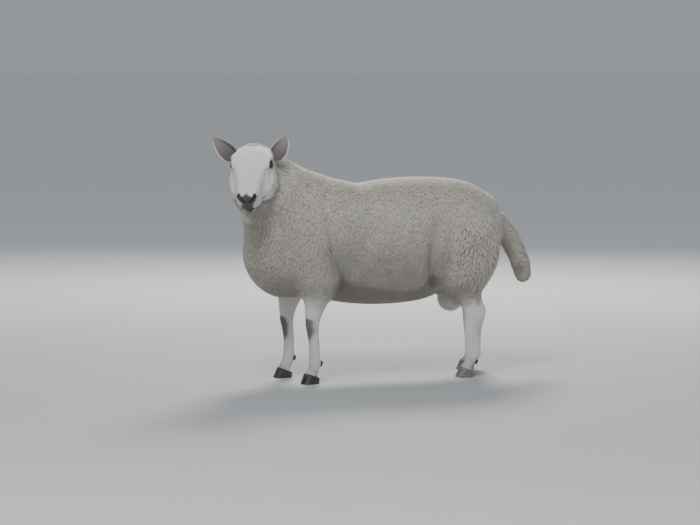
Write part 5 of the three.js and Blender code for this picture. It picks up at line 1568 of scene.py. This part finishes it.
skin_pos, skin_tris = body, faces
for e in EARS.values():
    ep, et = make_ear(e)
    rows_, cols_ = 65, 72
    v = np.linspace(0, 1, rows_)
    t = (0.5 - 0.5 * np.cos(np.pi * v))[:, None] * np.ones((1, cols_))
    a = np.linspace(0, 2 * np.pi, cols_, endpoint=False)[None, :] * np.ones((rows_, 1))
    skin_tris = np.concatenate([skin_tris, et + len(skin_pos)])
    skin_pos = np.concatenate([skin_pos, ep])
    tone = np.concatenate([tone, ear_tones(t.ravel(), np.cos(a).ravel(), np.sin(a).ravel())])
    lay_of = np.concatenate([lay_of, np.stack([t.ravel() * 0.1, np.cos(a).ravel() * 0.03, np.sin(a).ravel() * 0.03], 1)])
    bare = np.concatenate([bare, np.zeros(len(ep))])
skin = mesh_of("skin", skin_pos, skin_tris)
attribute(skin, "tone", np.concatenate([np.clip(tone, 0, 1), np.ones((len(tone), 1))], 1), "FLOAT_COLOR")
attribute(skin, "grain", lay_of, "FLOAT_VECTOR")
attribute(skin, "bare", bare)
skin.data.materials.append(hide)
put(skin, "hair", "trunk", "neck", "head", "ear_left", "ear_right", "tail", "scrotum", *[f"{leg}_{part}" for leg in LEGS for part in ("upper", "lower")])

for name, side in (("eyeball_left", 1), ("eyeball_right", -1)):
    ob = make_eye(name, side)
    ob.data.materials.append(wet)
    put(ob, "eye", "eye_left" if side > 0 else "eye_right")
for leg_name, leg in LEGS.items():
    for inner, word in ((0, "outer"), (1, "inner")):
        ob = make_claw(f"{leg_name}_hoof_{word}", leg, inner)
        ob.data.materials.append(horn if leg["fore"] else pale_horn)
        put(ob, "horn", f"{leg_name}_claw_{word}")
        ob = make_dewclaw(f"{leg_name}_dew_{word}", leg, inner)
        ob.data.materials.append(horn)
        put(ob, "horn", f"{leg_name}_dewclaw_{word}")

coat = Coat()
lay_fleece(coat, body, faces, normals)
lay_hair(coat, body, faces, normals)
lay_ears(coat)
lay_lashes(coat)
for ob in coat.build({name: fleece if name.startswith("fleece") else hair for name in coat.parts}):
    put(ob, "fleece" if ob.name.startswith("fleece") else "hair")


# ---------------------------------------------------------------- floor, light, camera
def stage_floor():
    me = bpy.data.meshes.new("floor")
    s = 400.0
    me.from_pydata([(-s, -s, 0), (s, -s, 0), (s, s, 0), (-s, s, 0)], [], [(0, 1, 2, 3)])
    ob = bpy.data.objects.new("floor", me)
    bpy.context.scene.collection.objects.link(ob)

    def paint(nt, b):
        at = node(nt, "ShaderNodeTexCoord").outputs["Object"]
        # painted light: mid grey near the animal, painted brighter with distance so that the floor fades into the sky
        # at the horizon
        away = node(nt, "ShaderNodeVectorMath", {0: at}, operation="LENGTH").outputs["Value"]
        far = node(nt, "ShaderNodeMapRange", {"Value": away, "From Min": 1.4, "From Max": 6.5}, interpolation_type="SMOOTHSTEP")
        ground = node(nt, "ShaderNodeValToRGB", {"Fac": far.outputs[0]})
        e = ground.color_ramp.elements
        e[0].color, e[1].color = (0.42, 0.425, 0.43, 1), (0.93, 0.935, 0.94, 1)
        nt.links.new(scaled(nt, ground.outputs[0], grain(nt, at, (9, 9, 9), 3), 0.985, 1.015), b.inputs["Base Color"])
    ob.data.materials.append(material("floor", 0.9, paint))


def lamp(name, at, to, size, power, colour=(1, 1, 1)):
    l = bpy.data.lights.new(name, "AREA")
    l.shape, l.size, l.energy, l.color = "DISK", size, power, colour
    ob = bpy.data.objects.new(name, l)
    ob.location = at
    ob.rotation_euler = (Vector(to) - Vector(at)).to_track_quat("-Z", "Y").to_euler()
    bpy.context.scene.collection.objects.link(ob)


stage_floor()
world = bpy.data.worlds.new("sky")
bpy.context.scene.world = world
world.use_nodes = True
world.node_tree.nodes["Background"].inputs["Color"].default_value = (0.88, 0.945, 1.0, 1)
world.node_tree.nodes["Background"].inputs["Strength"].default_value = 0.36
lamp("key", (-2.2, -3.0, 4.6), (0, 0, 0.55), 2.0, 185, (0.96, 0.98, 1.0))
lamp("fill", (3.6, -4.0, 2.2), (0, 0, 0.45), 3.0, 26, (0.90, 0.95, 1.0))
lamp("rim", (1.4, 3.4, 3.8), (0, 0, 0.8), 1.6, 300, (1.0, 0.99, 0.97))

cam = bpy.data.cameras.new("photo")
cam.lens, cam.sensor_width, cam.clip_end = 121.7, 36.0, 1500.0
eye = bpy.data.objects.new("photo", cam)
bpy.context.scene.collection.objects.link(eye)
ahead = Vector((0.32697599, 0.941441, -0.08231372))
across = Vector((0.94464669, -0.32808937, 0.0))
eye.matrix_world = Matrix((across, across.cross(ahead), -ahead)).transposed().to_4x4()
eye.location = (-3.084269, -8.563166, 1.2)
bpy.context.scene.camera = eye

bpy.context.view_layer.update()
print(f"whole model {time.time() - START:.1f} s")
